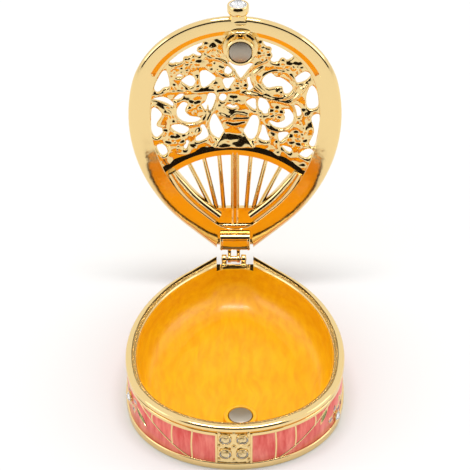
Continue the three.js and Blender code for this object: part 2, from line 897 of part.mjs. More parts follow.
const box = new THREE.Group();
const hingePinLength = 2 * (windowWidth / 2 + armWidth + hingeGap + lugWidth) + 2 * pinEnd;
box.add(
  piece('box_body', boxBody(), gold),
  piece('hinge_pin', cylinderX(pinRadius, hingePinLength, hingeOffset, pinY, pinHeight), pinGold),
  piece('box_magnet', disc(
    magnetRadius,
    magnetThickness,
    magnetChamfer,
    magnetOffset,
    magnetY,
    magnetTop - magnetThickness,
  ), nickel),
);
crystals.forEach((place, index) => {
  const cut = stone(stoneRadius);
  cut.translate(0, stoneSetting, 0);
  box.add(piece(`front_crystal_${index + 1}`, onFront(cut, place.x, place.z, colletInset), crystal));
});
for (const place of sideStones) {
  const cut = stone(sideStoneRadius);
  cut.translate(0, stoneSetting, 0);
  box.add(piece(`side_crystal_${place.side}`, onFront(cut, place.x, place.z, railRecess), crystal));
}

const lid = new THREE.Group();
lid.position.set(0, pinY, pinHeight);
lid.rotation.x = -openAngle;
const closed = new THREE.Group();
closed.position.set(0, -pinY, -pinHeight);
lid.add(closed);
const claspStone = stone(claspStoneRadius);
claspStone.translate(claspOffset, claspFront + stoneSetting, claspHeight);
closed.add(
  piece('lid', lidCasting(), gold),
  piece('lid_magnet', disc(
    magnetRadius,
    magnetThickness,
    magnetChamfer,
    magnetOffset,
    magnetY,
    lidMagnetLow,
  ), nickel),
  piece('clasp_crystal', solid(claspStone), crystal),
);

const part = new THREE.Group();
part.add(box, lid);

export default part;
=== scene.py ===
"""Fan trinket box: the dressed model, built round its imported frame."""

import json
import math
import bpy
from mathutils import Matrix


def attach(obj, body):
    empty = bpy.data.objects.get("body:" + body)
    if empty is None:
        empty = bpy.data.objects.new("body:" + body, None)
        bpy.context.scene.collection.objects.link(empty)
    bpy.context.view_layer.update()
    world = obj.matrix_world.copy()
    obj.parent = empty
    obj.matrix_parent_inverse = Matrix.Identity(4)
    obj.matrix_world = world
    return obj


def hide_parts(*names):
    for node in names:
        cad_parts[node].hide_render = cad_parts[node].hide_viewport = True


bl_info = {
    "name": "Fan Trinket Box",
    "version": (1, 0, 0),
    "blender": (4, 5, 0),
    "location": "View3D > Sidebar > Trinket Box",
    "description": "Builds a hinged trinket box of gilt metal and enamel round its frame",
    "category": "Object",
}

import bmesh
import bpy
from bpy.props import FloatProperty, FloatVectorProperty, PointerProperty
from mathutils import Matrix, Vector, noise

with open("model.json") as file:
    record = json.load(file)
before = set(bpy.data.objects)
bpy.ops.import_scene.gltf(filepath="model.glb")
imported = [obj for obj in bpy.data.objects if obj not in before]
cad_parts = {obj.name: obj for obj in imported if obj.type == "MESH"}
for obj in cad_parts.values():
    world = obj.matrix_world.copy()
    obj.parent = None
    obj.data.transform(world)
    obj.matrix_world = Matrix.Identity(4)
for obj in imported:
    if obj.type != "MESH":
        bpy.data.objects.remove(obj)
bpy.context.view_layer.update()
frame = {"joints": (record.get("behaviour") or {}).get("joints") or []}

# The hinge as the frame gives it: the box rests open, and the joint's far end is the shut lid
hinge = frame["joints"][0]
HINGE_X, HINGE_Y, HINGE_Z = hinge["pos_m"]
OPEN_ANGLE = math.radians(hinge["range_deg"][1])
LID_TURN = (
    Matrix.Translation((0, HINGE_Y, HINGE_Z))
    @ Matrix.Rotation(-OPEN_ANGLE, 4, "X")
    @ Matrix.Translation((0, -HINGE_Y, -HINGE_Z))
)


# A lathe's axis turned along the hinge, and turned forwards out of the front
ALONG_X = Matrix.Rotation(math.pi / 2, 4, "Y")
FORWARD = Matrix.Rotation(math.pi / 2, 4, "X")


def mm(value):
    """A length in millimetres as Blender's metres."""
    return value * 0.001


def length(label, value, note):
    """A size that a user can change."""
    return FloatProperty(
        name=label, description=note, default=mm(value), min=0.0, precision=5, unit="LENGTH"
    )


def number(label, value, note):
    """A plain number that a user can change."""
    return FloatProperty(name=label, description=note, default=value, min=0.0)


def angle(label, degrees, note):
    """An angle that a user can change."""
    return FloatProperty(name=label, description=note, default=math.radians(degrees), subtype="ANGLE")


def colour(label, red, green, blue, note):
    """A colour that a user can change."""
    return FloatVectorProperty(
        name=label, description=note, default=(red, green, blue), size=3, min=0.0, max=1.0, subtype="COLOR"
    )


class FanBoxSizes(bpy.types.PropertyGroup):
    """Sizes of the box, its lid and their fittings."""

    front_half_width: length("Front half width", 28, "Half the width of the round front")
    front_reach: length("Front reach", 25.2, "From the middle of the front's ellipse to its foremost point")
    flank_start: angle("Flank start", 13.5, "Where the flank arc leaves the ellipse, before its widest point")
    flank_radius: length("Flank radius", 45, "Radius of the long arcs at the two sides")
    side_angle: angle("Side angle", 41.5, "Slope of the straight sides towards the hinge")
    back_half_width: length("Back half width", 4.9, "Half the width of the flat back at the hinge")
    notch_depth: length("Notch depth", 1.1, "How far the back stands in from the corners")
    foot_height: length("Foot height", 2.1, "Height of the gold foot")
    band_top: length("Band top", 10.9, "Height at which the pink band ends")
    rail_top: length("Rail top", 11.9, "Height of the gold line above the band")
    groove_top: length("Groove top", 12.4, "Top of the groove below the rim")
    box_height: length("Box height", 14, "Height of the box without its lid")
    band_recess: length("Band recess", 0.75, "How deep the band's metal ground lies")
    rail_recess: length("Rail recess", 0.3, "How far the gold lines stand in from the foot")
    groove_recess: length("Groove recess", 0.95, "Depth of the groove below the rim")
    enamel_depth: length("Enamel depth", 0.36, "Thickness of the pink enamel")
    wall: length("Wall", 2.9, "Thickness of the wall at the rim")
    floor_thickness: length("Floor", 1.6, "Thickness of the floor")
    floor_fillet: length("Floor fillet", 7.6, "Radius between the tray's wall and floor")
    back_fillet: length("Back fillet", 9, "Radius of the tray's back corners")
    back_slope: number("Back slope", 1.2, "How much faster the tray's back leans in")
    rim_crown: length("Rim crown", 1.6, "From the rim's outside to its highest line")
    rim_drop: length("Rim drop", 0.7, "How far the rim rounds down to the tray's mouth")
    shelf_drop: length("Shelf drop", 2.2, "How far the wall is cut down for the hinge block")
    lid_inset: length("Lid inset", 0.3, "How far the lid stands in from the foot's outline")
    lid_thickness: length("Lid thickness", 2.5, "Thickness of the lid's ring")
    closed_gap: length("Closed gap", 0.3, "Gap between the rim and the shut lid")
    ring_width: length("Ring width", 6.1, "Width of the lid's ring")
    crease_width: length("Crease width", 3.9, "From the ring's outside to the crease on its inner face")
    recess_depth: length("Recess depth", 0.9, "How deep the ring's face falls to its inner edge")
    plate_thickness: length("Plate thickness", 1.3, "Thickness of the openwork")
    dome_height: length("Dome height", 1.0, "How far the openwork rises in its middle")
    magnet_radius: length("Magnet radius", 3, "Radius of both magnets")
    stone_radius: length("Stone radius", 1.4, "Radius of the four front crystals")
    side_stone_radius: length("Side stone radius", 1.1, "Radius of the crystals at the sides")
    clasp_stone_radius: length("Clasp stone radius", 2.2, "Radius of the crystal in the clasp")


class FanBoxColours(bpy.types.PropertyGroup):
    """Colours of the metals and enamels."""

    gold: colour("Gold", 0.88, 0.66, 0.31, "Polished gilt plating")
    nickel: colour("Nickel", 0.42, 0.37, 0.3, "Plating of the magnets")
    brass: colour("Brass", 0.5, 0.27, 0.09, "Drawn wire of the hinge pin")
    tray_light: colour("Tray light", 0.85, 0.44, 0.002, "Pearly yellow enamel where it lies thin")
    tray_deep: colour("Tray deep", 0.76, 0.33, 0.001, "Pearly yellow enamel where it lies thick")
    band_light: colour("Band light", 0.84, 0.22, 0.17, "Coral pink enamel in its pearly streaks")
    band_deep: colour("Band deep", 0.66, 0.06, 0.05, "Coral pink enamel between the streaks")
    leaf_light: colour("Leaf light", 0.3, 0.36, 0.04, "Green enamel at the leaf's middle")
    leaf_deep: colour("Leaf deep", 0.06, 0.11, 0.03, "Green enamel at the leaf's edge")
    petal: colour("Petal", 0.5, 0.27, 0.42, "Lavender enamel")


class FanBoxStudio(bpy.types.PropertyGroup):
    """Camera and studio."""

    camera_elevation: angle("Elevation", 38.048, "How far above the horizon the camera stands")
    camera_distance: length("Distance", 934.26, "From the camera to the point that it looks at")
    aim_y: length("Aim depth", 17.85, "Depth of the point that the camera looks at")
    aim_z: length("Aim height", 42.51, "Height of the point that the camera looks at")
    lens: number("Lens", 277.85, "Focal length in millimetres")
    floor_half_size: length("Floor", 6000, "Half the side of the floor")
    sky: number("Sky", 1.0, "Strength of the even studio light")
    top_power: number("Top light", 4.2, "Power of the lamp overhead in watts")
    side_power: number("Side lights", 1.2, "Power of each lamp at the sides in watts")
    dark_distance: length("Dark room", 1350, "From the box to the dark room behind the camera")
    dark_width: length("Dark width", 3200, "Width of the dark room's opening")
    dark_height: length("Dark height", 2300, "Height of the dark room's opening")


def sizes():
    return bpy.context.scene.fan_box_sizes


def colours():
    return bpy.context.scene.fan_box_colours


# Plan of the box
FRONT_STEPS = 40
FLANK_STEPS = 22
BACK_STEPS = 10
LEAF_STEPS = 8


def flank_centre(s):
    """Middle of the right flank's arc."""
    x = (s.front_half_width - s.flank_radius) * math.cos(s.flank_start)
    y = (s.flank_radius - s.front_reach) * math.sin(s.flank_start)
    return Vector((x, y))


def side_start(s, inset):
    """Where the straight side begins, moved in by an inset."""
    end = math.pi / 2 - s.side_angle
    reach = s.flank_radius - inset
    return flank_centre(s) + Vector((reach * math.cos(end), reach * math.sin(end)))


def side_y(s, inset, x):
    start = side_start(s, inset)
    return start.y + (start.x - x) * math.tan(s.side_angle)


def side_x(s, inset, y):
    start = side_start(s, inset)
    return start.x - (y - start.y) / math.tan(s.side_angle)


def half_plan(s, inset):
    """Right half of the plan, from the front to the end of the flank arc."""
    points = []
    for i in range(FRONT_STEPS + 1):
        turn = -math.pi / 2 + i / FRONT_STEPS * (math.pi / 2 - s.flank_start)
        x = (s.front_half_width - inset) * math.cos(turn)
        points.append(Vector((x, (s.front_reach - inset) * math.sin(turn))))
    centre = flank_centre(s)
    end = math.pi / 2 - s.side_angle
    for i in range(1, FLANK_STEPS + 1):
        turn = -s.flank_start + i / FLANK_STEPS * (s.flank_start + end)
        reach = s.flank_radius - inset
        points.append(centre + Vector((reach * math.cos(turn), reach * math.sin(turn))))
    return points


def mirrored(half):
    return half + [Vector((-p.x, p.y)) for p in reversed(half) if p.x > 1e-7]


def back_face(s):
    return side_y(s, 0, s.back_half_width) - s.notch_depth


def notched_plan(s, inset):
    """The whole plan, with the notch at the hinge."""
    half = half_plan(s, inset)
    start = side_start(s, inset)
    corner = Vector((s.back_half_width, side_y(s, inset, s.back_half_width)))
    for i in range(1, BACK_STEPS + 1):
        half.append(start.lerp(corner, i / BACK_STEPS))
    half.append(Vector((s.back_half_width, back_face(s) - inset)))
    return mirrored(half)


def rounded_plan(s, inset, back_y, radius):
    """The whole plan, with a rounded back at a given y."""
    half = half_plan(s, inset)
    corner_x = side_x(s, inset, back_y)
    turn = math.tan(s.side_angle / 2)
    reach = min(radius * turn, corner_x * 0.9)
    arc = reach / turn
    for i in range(BACK_STEPS + 1):
        bend = math.pi / 2 - s.side_angle + i / BACK_STEPS * s.side_angle
        half.append(
            Vector((corner_x - reach + arc * math.cos(bend), back_y - arc + arc * math.sin(bend)))
        )
    return mirrored(half)


def front_place(s, x, inset):
    """The place on the outside wall at a given x on the front, as a matrix: X along the wall, Y inwards."""
    width = s.front_half_width - inset
    reach = s.front_reach - inset
    turn = math.asin(max(-1, min(1, x / width)))
    heading = math.atan2(reach * math.sin(turn), width * math.cos(turn))
    return Matrix.Translation((x, -reach * math.cos(turn), 0)) @ Matrix.Rotation(heading, 4, "Z")


def stone_place(s, x, height, inset, setting=0.0):
    """The seat of a stone on the outside wall, facing outwards, set in by a depth."""
    return front_place(s, x, inset) @ Matrix.Translation((0, setting, height)) @ FORWARD


def magnet_place(s):
    """The upright axis of both magnets, as a matrix."""
    return Matrix.Translation((MAGNET_OFFSET, MAGNET_FROM_FRONT - s.front_reach, 0))


def wall_frame(s, station, inset):
    """The place on the outside wall at a distance along it from the front's middle, right for a
    positive one: the point and the direction along the wall.
    """
    rest = abs(station)
    line = half_plan(s, 0)
    inner = half_plan(s, inset)
    for a, b, inner_a, inner_b in zip(line, line[1:], inner, inner[1:]):
        run = (b - a).length
        if rest <= run:
            break
        rest -= run
    point = inner_a.lerp(inner_b, rest / run)
    along = (b - a).normalized()
    if station < 0:
        return Vector((-point.x, point.y)), Vector((along.x, -along.y))
    return point, along


def station_at(s, x):
    """Distance along the wall from the front's middle to a given x on the front."""
    line = half_plan(s, 0)
    total = 0
    for a, b in zip(line, line[1:]):
        if b.x >= abs(x):
            return math.copysign(total + (b - a).length * (abs(x) - a.x) / (b.x - a.x), x)
        total += (b - a).length
    return math.copysign(total, x)


def wall_wire(bm, s, points, width, closed=False):
    """A rounded gold line on the wall through (station, height) points."""
    loops = []
    count = len(points)
    half = width / 2
    deep = s.band_recess + mm(0.05) - s.rail_recess
    shoulder = mm(0.14)
    section = [(-half, deep), (-half, shoulder), (-half * 0.55, 0)]
    section += [(-u, d) for u, d in reversed(section)]
    for i, (station, height) in enumerate(points):
        before = points[(i - 1) % count] if closed else points[max(i - 1, 0)]
        after = points[(i + 1) % count] if closed else points[min(i + 1, count - 1)]
        run = Vector((after[0] - before[0], after[1] - before[1])).normalized()
        point, along = wall_frame(s, station, s.rail_recess)
        inward = Vector((-along.y, along.x, 0))
        side = Vector((along.x * -run.y, along.y * -run.y, run.x))
        middle = Vector((point.x, point.y, height))
        loops.append(edge_loop(bm, [middle + side * u + inward * d for u, d in section]))
    for low, high in zip(loops, loops[1:] + (loops[:1] if closed else [])):
        bmesh.ops.bridge_loops(bm, edges=low + high)
    if not closed:
        for loop in (loops[0], loops[-1]):
            bmesh.ops.contextual_create(bm, geom=loop)


def wall_patch(bm, s, points, depth):
    """A low domed field of enamel on the wall inside (station, height) points."""
    centre = sum((Vector(p) for p in points), Vector((0, 0))) / len(points)
    rings = ((1.0, s.band_recess), (1.0, depth + mm(0.1)), (0.7, depth), (0.3, depth - mm(0.02)))
    verts = []
    edges = None
    for share, inset in rings:
        row = []
        for p in points:
            q = centre.lerp(Vector(p), share)
            point, _ = wall_frame(s, q.x, inset)
            row.append(Vector((point.x, point.y, q.y)))
        if edges is None:
            edges = edge_loop(bm, row)
            verts = [edge.verts[0] for edge in edges]
            bmesh.ops.contextual_create(bm, geom=edges)
            continue
        verts, edges = extend_loop(bm, verts, edges, row)
    bmesh.ops.contextual_create(bm, geom=edges)


def leaf_outline(station, height, long_side, width, turn):
    """A pointed leaf on the wall about its middle."""
    points = []
    for side in (1, -1):
        for i in range(LEAF_STEPS):
            share = i / LEAF_STEPS if side == 1 else 1 - i / LEAF_STEPS
            points.append(((share - 0.5) * long_side, side * width / 2 * math.sin(share * math.pi) ** 0.8))
    tilt = Matrix.Rotation(turn, 2)
    return [(station + q.x, height + q.y) for q in (tilt @ Vector(p) for p in points)]


# Building blocks
def extend_loop(bm, verts, edges, row):
    """Extrudes a closed loop of edges to the places of a row, and returns the new verts and edges."""
    made = bmesh.ops.extrude_edge_only(bm, edges=edges)["geom"]
    fresh = {item for item in made if isinstance(item, bmesh.types.BMVert)}
    follow = [next(e.other_vert(v) for e in v.link_edges if e.other_vert(v) in fresh) for v in verts]
    for vert, place in zip(follow, row):
        vert.co = place
    return follow, [bm.edges.get(pair) for pair in zip(follow, follow[1:] + follow[:1])]


def edge_loop(bm, points):
    """A closed loop of edges through points."""
    verts = [bm.verts.new(p) for p in points]
    return [bm.edges.new(pair) for pair in zip(verts, verts[1:] + verts[:1])]


def loft(bm, outlines, closed=False):
    """A skin over outlines of the same number of points, each given as (points, height).

    Each outline is extruded from the one before. A closed skin comes back to its first outline.
    """
    rows = [[Vector((p[0], p[1], height)) for p in points] for points, height in outlines]
    if closed:
        rows.append(rows[0])
    edges = edge_loop(bm, rows[0])
    verts = [edge.verts[0] for edge in edges]
    if not closed:
        bmesh.ops.contextual_create(bm, geom=edges)
    for row in rows[1:]:
        verts, edges = extend_loop(bm, verts, edges, row)
    if not closed:
        bmesh.ops.contextual_create(bm, geom=edges)


def add_lathe(bm, profile, steps, place=Matrix.Identity(4)):
    """A profile of (radius, height) points spun about the Z axis, then put in its place."""
    verts = [bm.verts.new((r, 0, z)) for r, z in profile]
    edges = [bm.edges.new(pair) for pair in zip(verts, verts[1:])]
    made = bmesh.ops.spin(
        bm,
        geom=verts + edges,
        cent=(0, 0, 0),
        axis=(0, 0, 1),
        dvec=(0, 0, 0),
        angle=math.tau,
        steps=steps,
        use_merge=True,
    )
    moved = set(verts)
    moved.update(v for v in made["geom_last"] if isinstance(v, bmesh.types.BMVert))
    todo = list(moved)
    while todo:
        for edge in todo.pop().link_edges:
            for vert in edge.verts:
                if vert not in moved:
                    moved.add(vert)
                    todo.append(vert)
    moved = list(moved)
    bmesh.ops.remove_doubles(bm, verts=moved, dist=1e-7)
    moved = [v for v in moved if v.is_valid]
    bmesh.ops.transform(bm, matrix=place, verts=moved)
    return moved


def add_block(bm, low, high, round_by=0.0, segments=3, place=Matrix.Identity(4)):
    """A block between two corners, its edges rounded."""
    centre = (Vector(low) + Vector(high)) / 2
    size = Vector(high) - Vector(low)
    matrix = Matrix.Translation(centre) @ Matrix.Diagonal((*size, 1))
    verts = bmesh.ops.create_cube(bm, size=1, matrix=matrix)["verts"]
    if round_by:
        edges = list({e for v in verts for e in v.link_edges})
        made = bmesh.ops.bevel(
            bm,
            geom=edges,
            offset=round_by,
            affect="EDGES",
            segments=segments,
            profile=0.5,
            material=-1,
            clamp_overlap=True,
        )
        verts = list({v for v in made["verts"]} | {v for v in verts if v.is_valid})
    bmesh.ops.transform(bm, matrix=place, verts=verts)
    return verts


def add_ball(bm, matrix, segments=12, rings=8):
    """A ball of radius one, shaped and placed by a matrix."""
    bmesh.ops.create_uvsphere(bm, u_segments=segments, v_segments=rings, radius=1, matrix=matrix)


def rod_profile(radius, end_radius, half, edge):
    """Half section of a rod with bevelled ends about its middle, as (radius, height) points."""
    side = [(0, -half), (end_radius, -half), (radius, edge - half)]
    return side + [(r, -h) for r, h in reversed(side)]


def spline(points, steps):
    """A smooth line from the second of the points to the last but one."""
    line = []
    for a, b, c, d in zip(points, points[1:], points[2:], points[3:]):
        for i in range(steps):
            t = i / steps
            bend = (c - a) * t + (2 * a - 5 * b + 4 * c - d) * t**2 + (3 * b - a - 3 * c + d) * t**3
            line.append(0.5 * (2 * b + bend))
    return line


def smooth_path(points, steps):
    """A smooth line through points, with a number of steps between each two."""
    ends = [points[0] * 2 - points[1]] + points + [points[-1] * 2 - points[-2]]
    return spline(ends, steps) + [points[-1].copy()]


def closed_curve(points, steps):
    """A smooth closed line through points."""
    return spline([points[-1], *points, points[0], points[1]], steps)


def sweep(bm, path, section, taper=None):
    """A bar along a path in the XY plane. The section is (across, height) points."""
    loops = []
    last = len(path) - 1
    for i, point in enumerate(path):
        ahead = path[min(i + 1, last)] - path[max(i - 1, 0)]
        across = Vector((-ahead.y, ahead.x, 0)).normalized()
        scale = taper(i / last) if taper else 1
        loops.append(edge_loop(bm, [point + across * (u * scale) + Vector((0, 0, h)) for u, h in section]))
    for low, high in zip(loops, loops[1:]):
        bmesh.ops.bridge_loops(bm, edges=low + high)
    for loop in (loops[0], loops[-1]):
        bmesh.ops.contextual_create(bm, geom=loop)


def tidy_normals(bm):
    """Merges doubled points and turns the faces outwards."""
    bmesh.ops.remove_doubles(bm, verts=bm.verts, dist=1e-6)
    bmesh.ops.recalc_face_normals(bm, faces=bm.faces)


def smooth_shaded(mesh, sharp_above):
    """Smooth shading, but for edges that bend by more than an angle in degrees."""
    mesh.shade_smooth()
    mesh.set_sharp_from_angle(angle=math.radians(sharp_above))


def add_piece(name, bm, material, lid=False, sharp_above=50):
    """Makes the finished object of a bmesh: in its place, smooth, dressed and riding on its body."""
    tidy_normals(bm)
    if lid:
        bmesh.ops.transform(bm, matrix=LID_TURN, verts=bm.verts)
    mesh = bpy.data.meshes.new(name)
    bm.to_mesh(mesh)
    bm.free()
    smooth_shaded(mesh, sharp_above)
    mesh.materials.append(material)
    piece = bpy.data.objects.new(name, mesh)
    bpy.context.scene.collection.objects.link(piece)
    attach(piece, "lid" if lid else "box")
    return piece


def apply_modifiers(piece):
    """Bakes the modifiers of a piece into its mesh."""
    bpy.context.view_layer.update()
    seen = piece.evaluated_get(bpy.context.evaluated_depsgraph_get())
    made = bpy.data.meshes.new_from_object(seen)
    piece.modifiers.clear()
    piece.data = made
    made.name = piece.name


# Shader node groups
def new_group(name, inputs, outputs):
    """An empty node group with its sockets: (name, kind, default) and (name, kind)."""
    group = bpy.data.node_groups.new(name, "ShaderNodeTree")
    for label, kind, default in inputs:
        socket = group.interface.new_socket(name=label, in_out="INPUT", socket_type=kind)
        socket.default_value = default
    for label, kind in outputs:
        group.interface.new_socket(name=label, in_out="OUTPUT", socket_type=kind)
    return group, group.nodes.new("NodeGroupInput"), group.nodes.new("NodeGroupOutput")


def join(links, *pairs):
    """Links sockets, each pair given as (node, output, node, input)."""
    for source, out, target, into in pairs:
        links.new(source.outputs[out], target.inputs[into])


def set_values(node, values):
    """Sets the inputs of a node by their names."""
    for name, value in values.items():
        node.inputs[name].default_value = value


def cast_ripple_group():
    """Slow waves and fine pits of a polished casting, as a normal and a mask."""
    group, inside, outside = new_group(
        "Cast Ripple",
        [
            ("Wave Scale", "NodeSocketFloat", 260.0),
            ("Wave Height", "NodeSocketFloat", 0.00006),
            ("Grain Scale", "NodeSocketFloat", 1500.0),
            ("Grain Height", "NodeSocketFloat", 0.000006),
        ],
        [("Normal", "NodeSocketVector"), ("Mask", "NodeSocketFloat")],
    )
    nodes, links = group.nodes, group.links
    place = nodes.new("ShaderNodeTexCoord")
    wave = nodes.new("ShaderNodeTexNoise")
    grain = nodes.new("ShaderNodeTexNoise")
    slow = nodes.new("ShaderNodeBump")
    fine = nodes.new("ShaderNodeBump")
    set_values(wave, {"Detail": 1.5})
    set_values(grain, {"Detail": 3})
    set_values(slow, {"Strength": 1})
    set_values(fine, {"Strength": 1})
    join(
        links,
        (place, "Object", wave, "Vector"),
        (place, "Object", grain, "Vector"),
        (inside, "Wave Scale", wave, "Scale"),
        (inside, "Grain Scale", grain, "Scale"),
        (inside, "Wave Height", slow, "Distance"),
        (wave, "Fac", slow, "Height"),
        (inside, "Grain Height", fine, "Distance"),
        (grain, "Fac", fine, "Height"),
        (slow, "Normal", fine, "Normal"),
        (fine, "Normal", outside, "Normal"),
        (wave, "Fac", outside, "Mask"),
    )
    return group


def pearl_swirl_group():
    """Brushed pearly streaks in enamel: a colour between two, and a mask."""
    group, inside, outside = new_group(
        "Pearl Swirl",
        [
            ("Light", "NodeSocketColor", (1, 1, 1, 1)),
            ("Deep", "NodeSocketColor", (0, 0, 0, 1)),
            ("Scale", "NodeSocketFloat", 90.0),
            ("Stretch", "NodeSocketVector", (1, 1, 1)),
            ("Swirl", "NodeSocketFloat", 1.0),
        ],
        [("Color", "NodeSocketColor"), ("Mask", "NodeSocketFloat")],
    )
    nodes, links = group.nodes, group.links
    place = nodes.new("ShaderNodeTexCoord")
    drift = nodes.new("ShaderNodeTexNoise")
    set_values(drift, {"Scale": 70, "Detail": 1})
    shift = nodes.new("ShaderNodeVectorMath")
    shift.operation = "MULTIPLY_ADD"
    amount = nodes.new("ShaderNodeMath")
    amount.operation = "MULTIPLY"
    amount.inputs[1].default_value = 0.02
    stretch = nodes.new("ShaderNodeVectorMath")
    stretch.operation = "MULTIPLY"
    streak = nodes.new("ShaderNodeTexNoise")
    set_values(streak, {"Detail": 5, "Roughness": 0.6})
    ramp = nodes.new("ShaderNodeMapRange")
    set_values(ramp, {"From Min": 0.34, "From Max": 0.66})
    mix = nodes.new("ShaderNodeMix")
    mix.data_type = "RGBA"
    join(
        links,
        (place, "Object", drift, "Vector"),
        (drift, "Color", shift, 0),
        (inside, "Swirl", amount, 0),
        (amount, "Value", shift, 1),
        (place, "Object", shift, 2),
        (shift, "Vector", stretch, 0),
        (inside, "Stretch", stretch, 1),
        (stretch, "Vector", streak, "Vector"),
        (inside, "Scale", streak, "Scale"),
        (inside, "Swirl", streak, "Distortion"),
        (streak, "Fac", ramp, "Value"),
        (ramp, "Result", mix, "Factor"),
        (inside, "Deep", mix, "A"),
        (inside, "Light", mix, "B"),
        (mix, "Result", outside, "Color"),
        (ramp, "Result", outside, "Mask"),
    )
    return group


def group_node(nodes, maker, name):
    """A node that shows a shader group, which is built the first time it is asked for."""
    node = nodes.new("ShaderNodeGroup")
    node.node_tree = bpy.data.node_groups.get(name) or maker()
    return node


def new_material(name):
    """A material with its nodes, links and shader."""
    material = bpy.data.materials.new(name)
    material.use_nodes = True
    nodes = material.node_tree.nodes
    return material, nodes, material.node_tree.links, nodes["Principled BSDF"]


def polished_gold(name="polished_gold", wave_height=0.00006, grain_height=0.000005, roughness=0.09):
    """Gilt plating, polished over the ripples of the casting."""
    found = bpy.data.materials.get(name)
    if found:
        return found
    material, nodes, links, shader = new_material(name)
    ripple = group_node(nodes, cast_ripple_group, "Cast Ripple")
    set_values(ripple, {"Wave Height": wave_height, "Grain Height": grain_height})
    shine = nodes.new("ShaderNodeMapRange")
    set_values(shine, {"To Min": roughness * 0.75, "To Max": roughness * 1.4})
    join(
        links,
        (ripple, "Mask", shine, "Value"),
        (shine, "Result", shader, "Roughness"),
        (ripple, "Normal", shader, "Normal"),
    )
    set_values(shader, {"Base Color": (*colours().gold, 1), "Metallic": 1})
    return material


def plain_metal(name, tint, roughness, metallic=1.0):
    """Nickel, brass or foil with a fine grain."""
    found = bpy.data.materials.get(name)
    if found:
        return found
    material, nodes, links, shader = new_material(name)
    ripple = group_node(nodes, cast_ripple_group, "Cast Ripple")
    set_values(ripple, {"Wave Height": 0.00002})
    join(links, (ripple, "Normal", shader, "Normal"))
    set_values(shader, {"Base Color": (*tint, 1), "Metallic": metallic, "Roughness": roughness})
    return material


def enamel(name, light, deep, scale, stretch, swirl):
    """Glossy enamel with brushed pearly streaks."""
    found = bpy.data.materials.get(name)
    if found:
        return found
    material, nodes, links, shader = new_material(name)
    pearl = group_node(nodes, pearl_swirl_group, "Pearl Swirl")
    set_values(pearl, {"Light": (*light, 1), "Deep": (*deep, 1)})
    set_values(pearl, {"Scale": scale, "Stretch": stretch, "Swirl": swirl})
    ripple = group_node(nodes, cast_ripple_group, "Cast Ripple")
    set_values(ripple, {"Wave Scale": 420, "Wave Height": 0.00003, "Grain Height": 0})
    join(links, (pearl, "Color", shader, "Base Color"), (ripple, "Normal", shader, "Normal"))
    set_values(shader, {"Roughness": 0.29, "Specular IOR Level": 0.4})
    set_values(shader, {"Coat Weight": 0.12, "Coat Roughness": 0.05})
    return material


def clear_crystal():
    """Cut crystal, see-through by plain values."""
    found = bpy.data.materials.get("cut_crystal")
    if found:
        return found
    material, nodes, links, shader = new_material("cut_crystal")
    ripple = group_node(nodes, cast_ripple_group, "Cast Ripple")
    set_values(ripple, {"Wave Height": 0.000004, "Grain Height": 0.000001})
    join(links, (ripple, "Normal", shader, "Normal"))
    set_values(shader, {"Base Color": (0.97, 0.98, 1, 1), "Transmission Weight": 1})
    set_values(shader, {"Roughness": 0.01, "IOR": 1.6})
    return material


def studio_surface(name, tint, roughness=0.6):
    """Matt paper of the floor and the dark wall."""
    material, nodes, links, shader = new_material(name)
    set_values(shader, {"Base Color": (*tint, 1), "Roughness": roughness, "Specular IOR Level": 0.1})
    return material


def add_stage_plane(name, corners, material):
    """A flat surface of the studio between its corners."""
    bm = bmesh.new()
    verts = [bm.verts.new(c) for c in corners]
    bmesh.ops.contextual_create(bm, geom=verts)
    mesh = bpy.data.meshes.new(name)
    bm.to_mesh(mesh)
    bm.free()
    mesh.materials.append(material)
    card = bpy.data.objects.new(name, mesh)
    bpy.context.scene.collection.objects.link(card)
    return card


def add_softbox(name, place, aim, width, height, energy):
    """A soft lamp that looks at a point."""
    light = bpy.data.lights.new(name, "AREA")
    light.shape = "RECTANGLE"
    light.size = width
    light.size_y = height
    light.energy = energy
    lamp = bpy.data.objects.new(name, light)
    lamp.location = place
    lamp.rotation_euler = (Vector(aim) - Vector(place)).to_track_quat("-Z", "Y").to_euler()
    bpy.context.scene.collection.objects.link(lamp)


